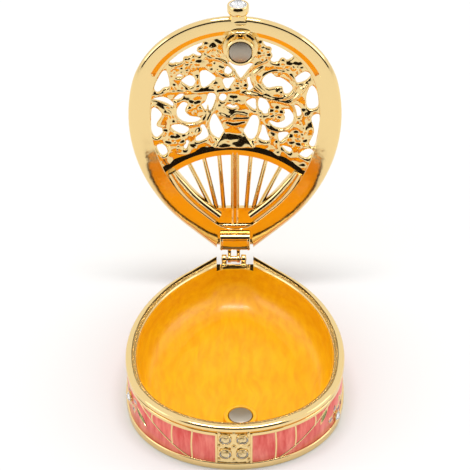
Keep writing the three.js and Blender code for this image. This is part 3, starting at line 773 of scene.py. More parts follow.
class FANBOX_OT_stage(bpy.types.Operator):
    """Sets up the pale floor, the soft studio light and the camera"""

    bl_idname = "fanbox.stage"
    bl_label = "Stage and camera"

    def execute(self, context):
        studio = context.scene.fan_box_studio
        aim = Vector((0, studio.aim_y, studio.aim_z))
        rise = studio.camera_elevation
        away = Vector((0, -math.cos(rise), math.sin(rise)))
        camera_data = bpy.data.cameras.new("camera")
        camera_data.lens = studio.lens
        camera_data.sensor_width = 36
        camera_data.clip_start = 0.05
        camera_data.clip_end = 50
        camera = bpy.data.objects.new("camera", camera_data)
        camera.location = aim + away * studio.camera_distance
        camera.rotation_euler = (-away).to_track_quat("-Z", "Y").to_euler()
        context.scene.collection.objects.link(camera)
        context.scene.camera = camera

        half = studio.floor_half_size
        paper = studio_surface("pale_paper", (0.72, 0.72, 0.72))
        corners = [(-half, -half, 0), (half, -half, 0), (half, half, 0), (-half, half, 0)]
        add_stage_plane("floor", corners, paper)

        # The dark room behind the camera, for the dark lines that polished edges show
        dark = studio_surface("dark_wall", (0.012, 0.008, 0.006), roughness=0.9)
        wide = studio.dark_width / 2
        far = -studio.dark_distance
        high = studio.dark_height
        corners = [(-wide, far, 0), (wide, far, 0), (wide, far, high), (-wide, far, high)]
        wall = add_stage_plane("dark_wall", corners, dark)
        wall.visible_diffuse = False

        # Places and sizes of the lamps in metres
        add_softbox("top_light", (0, 0.06, 1), (0, 0.03, 0.01), 0.6, 0.12, studio.top_power)
        add_softbox("left_light", (-1, -0.2, 0.5), (0, 0.01, 0.03), 0.5, 0.5, studio.side_power)
        add_softbox("right_light", (1, 0, 0.5), (0, 0.01, 0.03), 0.5, 0.5, studio.side_power)

        world = context.scene.world or bpy.data.worlds.new("studio")
        context.scene.world = world
        world.use_nodes = True
        background = world.node_tree.nodes["Background"]
        background.inputs["Color"].default_value = (1, 0.99, 0.97, 1)
        background.inputs["Strength"].default_value = studio.sky
        context.scene.view_settings.view_transform = "Standard"
        context.scene.view_settings.look = "None"
        return {"FINISHED"}


# The box
RIM_ROUND = mm(1.1)
RIM_POWER = 0.6
EDGE_ROUND = mm(0.35)
ROUND_STEPS = 5
FILLET_STEPS = 12
DISC_STEPS = 56
CASTING_CREASE = 30
TRAY_BACK_SHARE = 0.8
HINGE_GAP = mm(0.3)
ARM_WIDTH = mm(0.9)
WINDOW_WIDTH = mm(1.5)
LUG_WIDTH = mm(1.35)
LUG_RADIUS = mm(1.25)
KNUCKLE_RADIUS = mm(1.05)
BARREL_RADIUS = mm(0.8)
PIN_RADIUS = mm(0.45)
BARREL_EDGE = mm(0.12)
HINGE_STEPS = 32
MAGNET_OFFSET = mm(1.4)
MAGNET_FROM_FRONT = mm(8.7)
MAGNET_TOP = mm(11)
MAGNET_THICKNESS = mm(2)
MAGNET_GAP = mm(0.3)
SEAT_CLEARANCE = mm(0.25)
SEAT_WALL = mm(0.65)
POST_WALL = mm(1.1)


def rounded_steps(inset_in, inset_out, low, high, power=1.0):
    """Insets and heights of a quarter round, from the outer face to the top. A power below one
    makes the corner squarer.
    """
    steps = []
    for i in range(ROUND_STEPS + 1):
        turn = i / ROUND_STEPS * math.pi / 2
        steps.append(
            (
                inset_out + (inset_in - inset_out) * (1 - max(0, math.cos(turn)) ** power),
                low + (high - low) * math.sin(turn) ** power,
            )
        )
    return steps


def tray_back(s):
    return back_face(s) - s.wall * TRAY_BACK_SHARE


def tray_profile(s, lining=0.0):
    """Insets and heights of the tray from its mouth to its floor, lined by a thickness."""
    floor = s.floor_thickness + lining
    profile = [(s.wall + lining, s.box_height - s.rim_drop)]
    radius = s.floor_fillet - lining
    for i in range(FILLET_STEPS + 1):
        turn = i / FILLET_STEPS * math.pi / 2
        inset = s.wall + lining + radius * (1 - math.cos(turn))
        profile.append((inset, floor + radius * (1 - math.sin(turn))))
    return profile


def tray_outline(s, inset):
    back = tray_back(s) - (inset - s.wall) * s.back_slope
    return rounded_plan(s, inset, back, s.back_fillet)


def cut_hinge_shelf(piece, s, sharp_above):
    """Cuts the wall down between the back corners, for the lid's hinge block."""
    half = s.back_half_width + mm(0.02)
    back = side_y(s, 0, s.back_half_width)
    bm = bmesh.new()
    add_block(
        bm,
        (-half, tray_back(s) - mm(4), s.box_height - s.shelf_drop),
        (half, back + mm(1), s.box_height + mm(1)),
    )
    mesh = bpy.data.meshes.new("cutter")
    bm.to_mesh(mesh)
    bm.free()
    cutter = bpy.data.objects.new("cutter", mesh)
    bpy.context.scene.collection.objects.link(cutter)
    cut = piece.modifiers.new("cut", "BOOLEAN")
    cut.operation = "DIFFERENCE"
    cut.solver = "EXACT"
    cut.object = cutter
    apply_modifiers(piece)
    bpy.data.objects.remove(cutter)
    smooth_shaded(piece.data, sharp_above)


class FANBOX_OT_box_casting(bpy.types.Operator):
    """Builds the gilt casting of the box: foot, band ground, rails, rim and tray"""

    bl_idname = "fanbox.box_casting"
    bl_label = "Box casting"

    def execute(self, context):
        s = sizes()
        outside = list(reversed(rounded_steps(EDGE_ROUND, 0, EDGE_ROUND, 0)))
        outside += rounded_steps(EDGE_ROUND, 0, s.foot_height - EDGE_ROUND, s.foot_height)
        lip = mm(0.08)
        outside += [
            (s.band_recess, s.foot_height),
            (s.band_recess, s.band_top),
            (s.rail_recess + lip, s.band_top),
            (s.rail_recess, s.band_top + lip),
            (s.rail_recess, s.rail_top - lip),
            (s.rail_recess + lip, s.rail_top),
            (s.groove_recess, s.rail_top),
            (s.groove_recess, s.groove_top),
            (EDGE_ROUND, s.groove_top),
            (0.0, s.groove_top + EDGE_ROUND),
        ]
        outside += rounded_steps(s.rim_crown, 0, s.box_height - RIM_ROUND, s.box_height, RIM_POWER)
        inner_round = rounded_steps(s.rim_crown, s.wall, s.box_height - s.rim_drop, s.box_height)
        outside += list(reversed(inner_round))[1:-1]
        outlines = [(notched_plan(s, inset), height) for inset, height in outside]
        outlines += [(tray_outline(s, inset), height) for inset, height in tray_profile(s)]
        bm = bmesh.new()
        loft(bm, outlines)
        gold = polished_gold()
        casting = add_piece("box_casting", bm, gold, sharp_above=CASTING_CREASE)
        cut_hinge_shelf(casting, s, CASTING_CREASE)
        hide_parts("box_body")
        return {"FINISHED"}


class FANBOX_OT_tray_enamel(bpy.types.Operator):
    """Lines the tray with yellow enamel, over the post of the magnet too"""

    bl_idname = "fanbox.tray_enamel"
    bl_label = "Tray enamel"

    def execute(self, context):
        s = sizes()
        c = colours()
        thickness = mm(0.16)
        bm = bmesh.new()
        outer = tray_profile(s, mm(0.01))
        inner = tray_profile(s, thickness)
        outlines = [(tray_outline(s, i), h) for i, h in reversed(outer)]
        outlines += [(tray_outline(s, i), h) for i, h in inner]
        loft(bm, outlines)
        yellow = enamel("yellow_enamel", c.tray_light, c.tray_deep, 620, (1, 0.2, 1.1), 0.25)
        lining = add_piece("tray_enamel", bm, yellow)
        cut_hinge_shelf(lining, s, 50)

        radius = s.magnet_radius + SEAT_CLEARANCE
        post = radius + POST_WALL
        top = MAGNET_TOP
        edge = mm(0.45)
        profile = [
            (0, s.floor_thickness + mm(0.1)),
            (post, s.floor_thickness + mm(0.1)),
            (post, top - edge),
            (post - edge * 0.3, top - edge * 0.3),
            (post - edge, top),
            (radius + mm(0.12), top),
            (radius, top - mm(0.12)),
            (radius, top - MAGNET_THICKNESS - mm(0.1)),
            (0, top - MAGNET_THICKNESS - mm(0.1)),
        ]
        bm = bmesh.new()
        add_lathe(bm, profile, DISC_STEPS, magnet_place(s))
        add_piece("magnet_post", bm, yellow)
        return {"FINISHED"}


class FANBOX_OT_magnets(bpy.types.Operator):
    """Sets the two round magnets in their seats"""

    bl_idname = "fanbox.magnets"
    bl_label = "Magnets"

    def execute(self, context):
        s = sizes()
        nickel = plain_metal("nickel_plating", colours().nickel, 0.34)
        edge = mm(0.22)
        radius = s.magnet_radius
        for name, low, on_lid, node in (
            ("box_magnet_disc", MAGNET_TOP - MAGNET_THICKNESS, False, "box_magnet"),
            ("lid_magnet_disc", MAGNET_TOP + MAGNET_GAP, True, "lid_magnet"),
        ):
            high = low + MAGNET_THICKNESS
            face = [(0, 0), (radius - edge, 0), (radius - edge * 0.3, edge * 0.3), (radius, edge)]
            profile = [(r, low + h) for r, h in face]
            profile += [(r, high - h) for r, h in reversed(face)]
            bm = bmesh.new()
            add_lathe(bm, profile, DISC_STEPS, magnet_place(s))
            disc = add_piece(name, bm, nickel, lid=on_lid)
            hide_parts(node)
        return {"FINISHED"}


PANEL_WIDTH = mm(9.6)
PANEL_OFFSET = mm(-0.3)
PANEL_FRAME = mm(0.65)
PANEL_BOTTOM = mm(1.6)
PANEL_INSET = mm(0.4)
WIRE_WIDTH = mm(0.55)
WIRE_START = mm(5.6)
WIRE_SPACING = mm(5.15)
WIRES_PER_SIDE = 3
RIB_STEPS = 6
RIB_BEND = mm(0.25)
SLANT_START = mm(11.6)
SLANT_END = mm(24.7)
SLANT_POWER = 1.2
SLANT_STEPS = 28


def slant_height(s, x):
    """Height of the slanting gold line at a given x."""
    share = (abs(x) - SLANT_START) / (SLANT_END - SLANT_START)
    return s.foot_height + (s.band_top - s.foot_height) * max(0, share) ** SLANT_POWER


def band_outlines(s, profile):
    """Sections of the band's enamel from one post of the panel round the box to the other."""
    right = station_at(s, PANEL_OFFSET + (PANEL_WIDTH - PANEL_FRAME) / 2)
    left = station_at(s, PANEL_OFFSET - (PANEL_WIDTH - PANEL_FRAME) / 2)
    plans = [notched_plan(s, inset) for inset, _ in profile]
    ends = []
    for station in (right, left):
        section = []
        for inset, height in profile:
            point, _ = wall_frame(s, station, inset)
            section.append(Vector((point.x, point.y, height)))
        ends.append(section)
    rows = [ends[0]]
    for i, point in enumerate(plans[0]):
        behind = point.y > -s.front_reach * 0.9
        if behind or point.x > ends[0][0].x or point.x < ends[1][0].x:
            places = zip(plans, profile)
            rows.append([Vector((plan[i].x, plan[i].y, height)) for plan, (_, height) in places])
    return rows + [ends[1]]


class FANBOX_OT_band(bpy.types.Operator):
    """Fills the band with pink enamel between raised gold lines"""

    bl_idname = "fanbox.band"
    bl_label = "Pink band"

    def execute(self, context):
        s = sizes()
        c = colours()
        surface = s.band_recess - s.enamel_depth
        edge = mm(0.12)
        profile = [
            (s.band_recess + mm(0.1), s.foot_height - mm(0.05)),
            (surface + edge, s.foot_height - mm(0.02)),
            (surface, s.foot_height + edge),
            (surface, s.band_top - edge),
            (surface + edge, s.band_top + mm(0.02)),
            (s.band_recess + mm(0.1), s.band_top + mm(0.05)),
        ]
        bm = bmesh.new()
        rows = band_outlines(s, profile)
        edges = edge_loop(bm, rows[0])
        verts = [e.verts[0] for e in edges]
        bmesh.ops.contextual_create(bm, geom=edges)
        for row in rows[1:]:
            verts, edges = extend_loop(bm, verts, edges, row)
        bmesh.ops.contextual_create(bm, geom=edges)
        pink = enamel("coral_enamel", c.band_light, c.band_deep, 620, (1, 1, 0.2), 0.1)
        add_piece("band_enamel", bm, pink)

        bm = bmesh.new()
        root = mm(0.3)
        for side in (-1, 1):
            for i in range(1, WIRES_PER_SIDE + 1):
                x = PANEL_OFFSET + side * (WIRE_START + i * WIRE_SPACING)
                low = s.foot_height if abs(x) < SLANT_START else slant_height(s, x)
                rib = []
                for k in range(RIB_STEPS + 1):
                    height = low - root + k / RIB_STEPS * (s.band_top - low + 2 * root)
                    bend = side * RIB_BEND * math.sin(k / RIB_STEPS * math.pi)
                    rib.append((station_at(s, x + bend), height))
                wall_wire(bm, s, rib, WIRE_WIDTH)
            slant = []
            for i in range(SLANT_STEPS + 1):
                x = SLANT_START + i / SLANT_STEPS * (SLANT_END - SLANT_START)
                slant.append((station_at(s, side * x), slant_height(s, x)))
            wall_wire(bm, s, slant, WIRE_WIDTH)
        gold = polished_gold()
        add_piece("band_lines", bm, gold)
        return {"FINISHED"}


class FANBOX_OT_sprays(bpy.types.Operator):
    """Lays the flower sprays of green and lavender enamel at the two sides"""

    bl_idname = "fanbox.sprays"
    bl_label = "Side sprays"

    def execute(self, context):
        s = sizes()
        c = colours()
        surface = s.band_recess - s.enamel_depth - mm(0.03)
        leaves = bmesh.new()
        petals = bmesh.new()
        lines = bmesh.new()
        for name, sign, from_side, height, front_leaf in SIDE_STONES:
            station = station_at(s, sign * (s.front_half_width - from_side))
            petal_reach = s.side_stone_radius + mm(1.5)
            x = sign * (s.front_half_width - from_side)
            ring_in = s.side_stone_radius + mm(0.05)
            ring_out = ring_in + mm(0.25)
            rise = SIDE_COLLET_RISE
            ring = [(ring_in, mm(-0.6)), (ring_in, rise), (ring_in + mm(0.12), rise + mm(0.06))]
            ring += [(ring_out, rise), (ring_out, mm(-0.6))]
            add_lathe(lines, ring + ring[:1], COLLET_STEPS, stone_place(s, x, height, s.rail_recess))
            fields = []
            for i in range(5):
                turn = math.radians(18 + 72 * i)
                middle = (station + petal_reach * math.cos(turn), height + petal_reach * math.sin(turn))
                if s.foot_height + mm(0.8) < middle[1] < s.band_top - mm(0.8):
                    fields.append((petals, leaf_outline(*middle, mm(2.5), mm(1.7), turn)))
            # Leaves and the stem that carries them, hanging towards the front and rising to the back
            lift = 1 if height < s.box_height / 2 else -1
            for along, rise, turn, size in (
                front_leaf,
                (4.2, 3.0, 130, 3.6),
                (7.4, 0.6, 20, 3.8),
                (11.2, 3.4, 150, 3.4),
            ):
                heading = math.radians(turn) * sign * lift
                place = (station + sign * mm(along), height + lift * mm(rise))
                fields.append((leaves, leaf_outline(*place, mm(size), mm(1.45), heading)))
            stalk = [
                Vector((station + sign * mm(along), height + lift * mm(rise), 0))
                for along, rise in ((-3.4, 1.4), (1.5, 2.2), (5.4, 2.6), (9.2, 1.4), (13.4, 2.6))
            ]
            wall_wire(lines, s, [(p.x, p.y) for p in smooth_path(stalk, 6)], WIRE_WIDTH * 0.7)
            for bm, outline in fields:
                wall_patch(bm, s, outline, surface)
                wall_wire(lines, s, outline, WIRE_WIDTH * 0.55, closed=True)
        green = enamel("leaf_enamel", c.leaf_light, c.leaf_deep, 900, (1, 1, 0.3), 0.6)
        add_piece("spray_leaves", leaves, green, sharp_above=60)
        shaded = tuple(channel * 0.55 for channel in c.petal)
        lavender = enamel("petal_enamel", c.petal, shaded, 900, (1, 1, 1), 0.6)
        add_piece("spray_petals", petals, lavender, sharp_above=60)
        add_piece("spray_lines", lines, polished_gold())
        return {"FINISHED"}


COLLET_STEPS = 28
STONE_SPACING_X = mm(4.4)
STONE_SPACING_Z = mm(4.8)
STONE_TOP_HEIGHT = mm(10)
COLLET_WALL = mm(0.28)
COLLET_INSET = mm(-0.1)
STONE_SETTING = mm(0.25)
STONE_CLEARANCE = mm(0.1)
CLAW_SHAPE = Matrix.Diagonal((mm(0.3), mm(0.3), mm(0.22), 1))
STIPPLE_SCALE = 1400
STIPPLE_DEPTH = mm(0.14)
GROUND_COLUMNS = 40
GROUND_ROWS = 44
SIDE_STONE_SETTING = mm(-0.5)
SIDE_COLLET_RISE = mm(0.35)


def front_stones(s):
    """Places of the four front crystals, row by row from the top."""
    places = []
    for row in (0, 1):
        for side in (-1, 1):
            x = PANEL_OFFSET + side * STONE_SPACING_X / 2
            places.append((x, STONE_TOP_HEIGHT - row * STONE_SPACING_Z))
    return places


class FANBOX_OT_front_panel(bpy.types.Operator):
    """Builds the gold front panel with its frame, rough ground, collets and beads"""

    bl_idname = "fanbox.front_panel"
    bl_label = "Front panel"

    def execute(self, context):
        s = sizes()
        gold = polished_gold()
        top = s.rail_top - mm(0.1)
        bm = bmesh.new()
        for side in (-1, 1):
            x = PANEL_OFFSET + side * (PANEL_WIDTH - PANEL_FRAME) / 2
            low = (-PANEL_FRAME / 2, 0, PANEL_BOTTOM)
            high = (PANEL_FRAME / 2, mm(1.4), top)
            add_block(bm, low, high, mm(0.15), place=front_place(s, x, mm(0.1)))
        for x, z in front_stones(s):
            outer = s.stone_radius + COLLET_WALL
            inner = s.stone_radius + STONE_CLEARANCE
            profile = [
                (0, mm(-1.5)),
                (outer, mm(-1.5)),
                (outer, mm(-0.12)),
                (outer - mm(0.14), 0),
                (inner + mm(0.08), 0),
                (inner, mm(-0.1)),
                (inner, mm(-1.3)),
                (0, mm(-1.3)),
            ]
            place = stone_place(s, x, z, COLLET_INSET)
            add_lathe(bm, profile, COLLET_STEPS, place)
            for turn in range(4):
                heading = math.radians(45 + 90 * turn)
                seat = (inner * math.cos(heading), inner * math.sin(heading), mm(0.05))
                add_ball(bm, place @ Matrix.Translation(seat) @ CLAW_SHAPE)
        # Beads between and round the crystals
        for column in (-1, 0, 1):
            for row in (-1, 0, 1):
                x = PANEL_OFFSET + column * STONE_SPACING_X * 0.86
                z = STONE_TOP_HEIGHT - STONE_SPACING_Z / 2 + row * STONE_SPACING_Z * 0.93
                size = mm(0.62) if column == row == 0 else mm(0.45)
                place = front_place(s, x, PANEL_INSET) @ Matrix.Translation((0, mm(0.05), z))
                add_ball(bm, place @ Matrix.Diagonal((size, size, size, 1)))
        add_piece("front_settings", bm, gold)

        rough = polished_gold("stippled_gold", wave_height=0.0002, grain_height=0.00003, roughness=0.16)
        bm = bmesh.new()
        half = (PANEL_WIDTH - PANEL_FRAME) / 2
        loops = []
        for row in range(GROUND_ROWS + 1):
            z = PANEL_BOTTOM + row / GROUND_ROWS * (top - PANEL_BOTTOM)
            line = []
            for column in range(GROUND_COLUMNS + 1):
                x = PANEL_OFFSET - half + column / GROUND_COLUMNS * 2 * half
                rise = noise.noise(Vector((x, 0, z)) * STIPPLE_SCALE) * STIPPLE_DEPTH
                line.append(front_place(s, x, PANEL_INSET + rise) @ Vector((0, 0, z)))
            verts = [bm.verts.new(p) for p in line]
            loops.append([bm.edges.new(pair) for pair in zip(verts, verts[1:])])
        for low, high in zip(loops, loops[1:]):
            bmesh.ops.bridge_loops(bm, edges=low + high)
        tidy_normals(bm)
        bmesh.ops.solidify(bm, geom=bm.faces[:], thickness=mm(0.5))
        add_piece("front_ground", bm, rough, sharp_above=60)
        return {"FINISHED"}


def brilliant(bm, radius, place):
    """A round brilliant with its facets, table up along Z and girdle at zero."""
    # Shares of the radius and height, corners and the turn of each ring in corners
    rings = [
        (0.56, 0.42, 8, 0.0),
        (0.8, 0.26, 8, 0.5),
        (1.0, 0.05, 16, 0.0),
        (1.0, -0.03, 16, 0.0),
        (0.5, -0.3, 8, 0.5),
        (0.06, -0.42, 8, 0.0),
    ]
    verts = []
    for share, height, count, shift in rings:
        for i in range(count):
            turn = (i + shift) / count * math.tau
            corner = Vector((share * math.cos(turn), share * math.sin(turn), height))
            verts.append(bm.verts.new(place @ (corner * radius)))
    bmesh.ops.convex_hull(bm, input=verts)


class FANBOX_OT_crystals(bpy.types.Operator):
    """Cuts the crystals and sets them on their bright foils"""

    bl_idname = "fanbox.crystals"
    bl_label = "Crystals"

    def execute(self, context):
        s = sizes()
        glass = clear_crystal()
        foil = plain_metal("silver_foil", (0.98, 0.99, 1), 0.4, metallic=0.0)
        stones = []
        for i, (x, z) in enumerate(front_stones(s)):
            place = stone_place(s, x, z, COLLET_INSET, STONE_SETTING)
            stones.append((f"front_crystal_{i + 1}", s.stone_radius, place, False))
        for name, sign, inset, height, _ in SIDE_STONES:
            x = sign * (s.front_half_width - inset)
            place = stone_place(s, x, height, s.rail_recess, SIDE_STONE_SETTING)
            stones.append((name, s.side_stone_radius, place, False))
        clasp = clasp_place(s, STONE_SETTING)
        stones.append(("clasp_crystal", s.clasp_stone_radius, clasp, True))
        for name, radius, place, on_lid in stones:
            bm = bmesh.new()
            brilliant(bm, radius * STONE_SHARE, place)
            stone = add_piece(f"{name}_cut", bm, glass, lid=on_lid, sharp_above=1)
            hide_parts(name)
            bm = bmesh.new()
            add_lathe(bm, [(r * radius, h * radius) for r, h in FOIL_CUP], 24, place)
            add_piece(f"{name}_foil", bm, foil, lid=on_lid, sharp_above=30)
        return {"FINISHED"}


# The stone within its seat, and the foil cup below it as shares of the seat's radius
STONE_SHARE = 0.985
FOIL_CUP = (
    (0, -0.47),
    (0.1, -0.46),
    (0.55, -0.34),
    (1.03, 0.06),
    (1.05, 0.02),
    (0.55, -0.39),
    (0.1, -0.5),
    (0, -0.5),
)
# Each side's crystal: its side, its distance in from the widest place, its height, and the leaf in
# front of it in millimetres as (along, rise, turn in degrees, length)
SIDE_STONES = (
    ("side_crystal_left", -1, mm(1.1), mm(8.3), (-5.7, 1.6, -33, 6.2)),
    ("side_crystal_right", 1, mm(1.9), mm(3.9), (-5.8, 4.7, 53, 5.2)),
)
CLASP_OFFSET = mm(0.8)
CLASP_REACH = mm(3.6)
CUP_RADIUS = mm(2.85)
CUP_LENGTH = mm(2.6)
NECK_RADIUS = mm(2.2)


def lid_face(s):
    return s.box_height + s.closed_gap


def lid_top(s):
    return lid_face(s) + s.lid_thickness


def clasp_front(s):
    return -(s.front_reach + CLASP_REACH - s.lid_inset)


def clasp_place(s, setting=0.0):
    """The clasp's axis at its front, facing forwards, set in by a depth."""
    height = (lid_face(s) + lid_top(s)) / 2
    return Matrix.Translation((CLASP_OFFSET, clasp_front(s) + setting, height)) @ FORWARD


def hinge_place(x):
    """The hinge's axis at a given x, as a matrix."""
    return Matrix.Translation((x, HINGE_Y, HINGE_Z)) @ ALONG_X


class FANBOX_OT_hinge(bpy.types.Operator):
    """Builds the lugs of the box's hinge and the pin through them"""

    bl_idname = "fanbox.hinge"
    bl_label = "Hinge lugs and pin"

    def execute(self, context):
        s = sizes()
        bm = bmesh.new()
        inner = WINDOW_WIDTH / 2 + ARM_WIDTH + HINGE_GAP
        edge = mm(0.15)
        half = LUG_WIDTH / 2
        profile = rod_profile(LUG_RADIUS, LUG_RADIUS - edge, half, edge)
        for side in (-1, 1):
            middle = HINGE_X + side * (inner + half)
            add_lathe(bm, profile, HINGE_STEPS, hinge_place(middle))
            add_block(
                bm,
                (middle - half, back_face(s) - mm(1), HINGE_Z - LUG_RADIUS),
                (middle + half, HINGE_Y, HINGE_Z + LUG_RADIUS * 0.3),
                mm(0.12),
            )
        add_piece("hinge_lugs", bm, polished_gold())

        reach = inner + LUG_WIDTH + mm(0.1)
        bm = bmesh.new()
        pin = rod_profile(PIN_RADIUS, PIN_RADIUS * 0.7, reach, BARREL_EDGE)
        add_lathe(bm, pin, 20, hinge_place(HINGE_X))
        brass = plain_metal("drawn_brass", colours().brass, 0.25)
        wire = add_piece("hinge_pin_wire", bm, brass)
        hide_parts("hinge_pin")
        return {"FINISHED"}


# The lid, modelled shut over the box
LID_ROUND = mm(1.15)
RING_EDGE = mm(0.5)
CREASE_SLOPE = mm(1.35)
CREASE_DEPTH = mm(0.5)
CREASE_FADE_START = mm(-9)
CREASE_FADE = mm(8)
BLOCK_WIDTH = mm(8.1)
BLOCK_FRONT = mm(5.6)
BLOCK_DROP = mm(2)
BLOCK_DEPTH = mm(3.4)
BLOCK_GAP = mm(0.2)
ROLL_RADIUS = mm(1.1)
FRAME_RADIUS = mm(0.45)
FRAME_LIFT = mm(0.3)
FAN_TOP = mm(15.1)
FAN_RADIUS = mm(27.5)
FAN_OFFSET = mm(-0.9)
FAN_SLOPE = mm(1.7)
FAN_LEDGE = mm(1.8)
FAN_RIDGE = mm(0.7)
FAN_HALF_SPAN = math.radians(48)
STICK_WIDTH = mm(1.1)
STICK_SPACING = mm(4.35)
STICKS_PER_SIDE = 3
# How much closer each stick's foot stands to the next one's than the one before
STICK_CLOSING = 0.62
HUB_HALF_WIDTH = mm(5.9)
HUB_LENGTH = mm(6)
GUARD_WIDTH = mm(3.2)
GUARD_INSET = mm(7.6)
GUARD_START = math.radians(27)
GUARD_STEPS = 8
GUARD_RISE = mm(0.85)
OPENING_GROWTH = mm(0.12)
WELD_SIZE = mm(0.22)
WELD_SOFTENING = 5
DIMPLE_SCALE = 400
DIMPLE_DEPTH = mm(0.34)
FINE_DIMPLE_DEPTH = mm(0.08)


def plate_low(s):
    return lid_face(s) + s.recess_depth


def plate_high(s):
    return plate_low(s) + s.plate_thickness


def dome_rise(s, x, y):
    """How far the openwork rises at a place of the lid."""
    half_length = (back_face(s) + s.front_reach) / 2 - s.ring_width
    middle = (back_face(s) - s.front_reach) / 2
    across = x / (s.front_half_width - s.ring_width)
    along = (y - middle) / half_length
    return s.dome_height * max(0, 1 - across**2 - along**2)


def dome(bm, s):
    for vert in bm.verts:
        vert.co.z += dome_rise(s, vert.co.x, vert.co.y)


class FANBOX_OT_lid_ring(bpy.types.Operator):
    """Builds the broad polished ring of the lid"""

    bl_idname = "fanbox.lid_ring"
    bl_label = "Lid ring"

    def execute(self, context):
        s = sizes()
        low = lid_face(s)
        high = lid_top(s)
        inset = s.lid_inset
        back = back_face(s) - BLOCK_FRONT
        outer = rounded_steps(inset + LID_ROUND, inset, high - LID_ROUND, high)
        under = [(i, low + high - h) for i, h in reversed(outer)]
        outlines = [(notched_plan(s, i), h) for i, h in under + outer]

        def inner(width, height):
            inner_back = back + (s.ring_width - width) * 0.55
            return (rounded_plan(s, width, inner_back, s.back_fillet), height)

        outlines += [
            inner(s.ring_width - RING_EDGE, high),
            inner(s.ring_width, high - RING_EDGE),
            inner(s.ring_width, low + CREASE_DEPTH + mm(0.1)),
            inner(s.ring_width - mm(0.1), low + CREASE_DEPTH),
            inner(s.crease_width + CREASE_SLOPE, low + CREASE_DEPTH),
            inner(s.crease_width, low),
        ]
        bm = bmesh.new()
        loft(bm, outlines, closed=True)
        # The groove of the inner face fades out towards the hinge
        row = len(outlines[0][0])
        bm.verts.ensure_lookup_table()
        for vert in bm.verts[row * len(under + outer) : row * len(outlines)]:
            in_groove = CREASE_DEPTH * 0.9 < vert.co.z - low < CREASE_DEPTH + mm(0.15)
            share = (vert.co.y - CREASE_FADE_START) / CREASE_FADE
            if in_groove and share > 0:
                vert.co.z -= min(1, share) * (CREASE_DEPTH - mm(0.05))
        ring = add_piece("lid_ring", bm, polished_gold(), lid=True, sharp_above=18)
        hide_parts("lid")
        return {"FINISHED"}


def fan_arc(steps):
    """Points along the fan's arched band, from left to right."""
    return [fan_point((i / steps * 2 - 1) * FAN_HALF_SPAN) for i in range(steps + 1)]


def fan_point(turn):
    """The place on the fan's band at an angle from its top."""
    x = FAN_OFFSET + FAN_RADIUS * math.sin(turn)
    return Vector((x, FAN_TOP + FAN_RADIUS * (1 - math.cos(turn)), 0))


def bar_section(s, width, ridge=0.0, crown=0.5):
    """Section of a bar of the openwork: (across, height), its inner face down."""
    low = plate_low(s)
    high = plate_high(s)
    half = width / 2
    shoulder = (high - low) * 0.25
    return [
        (-half, low + shoulder),
        (-half * crown, low - ridge * 0.6),
        (0, low - ridge),
        (half * crown, low - ridge * 0.6),
        (half, low + shoulder),
        (half, high - shoulder),
        (half * crown, high),
        (-half * crown, high),
        (-half, high - shoulder),
    ]


def guard_taper(share):
    """Width of a guard along its length, as a share: its outer end narrows."""
    return 0.75 + 0.25 * min(1, share * 3)


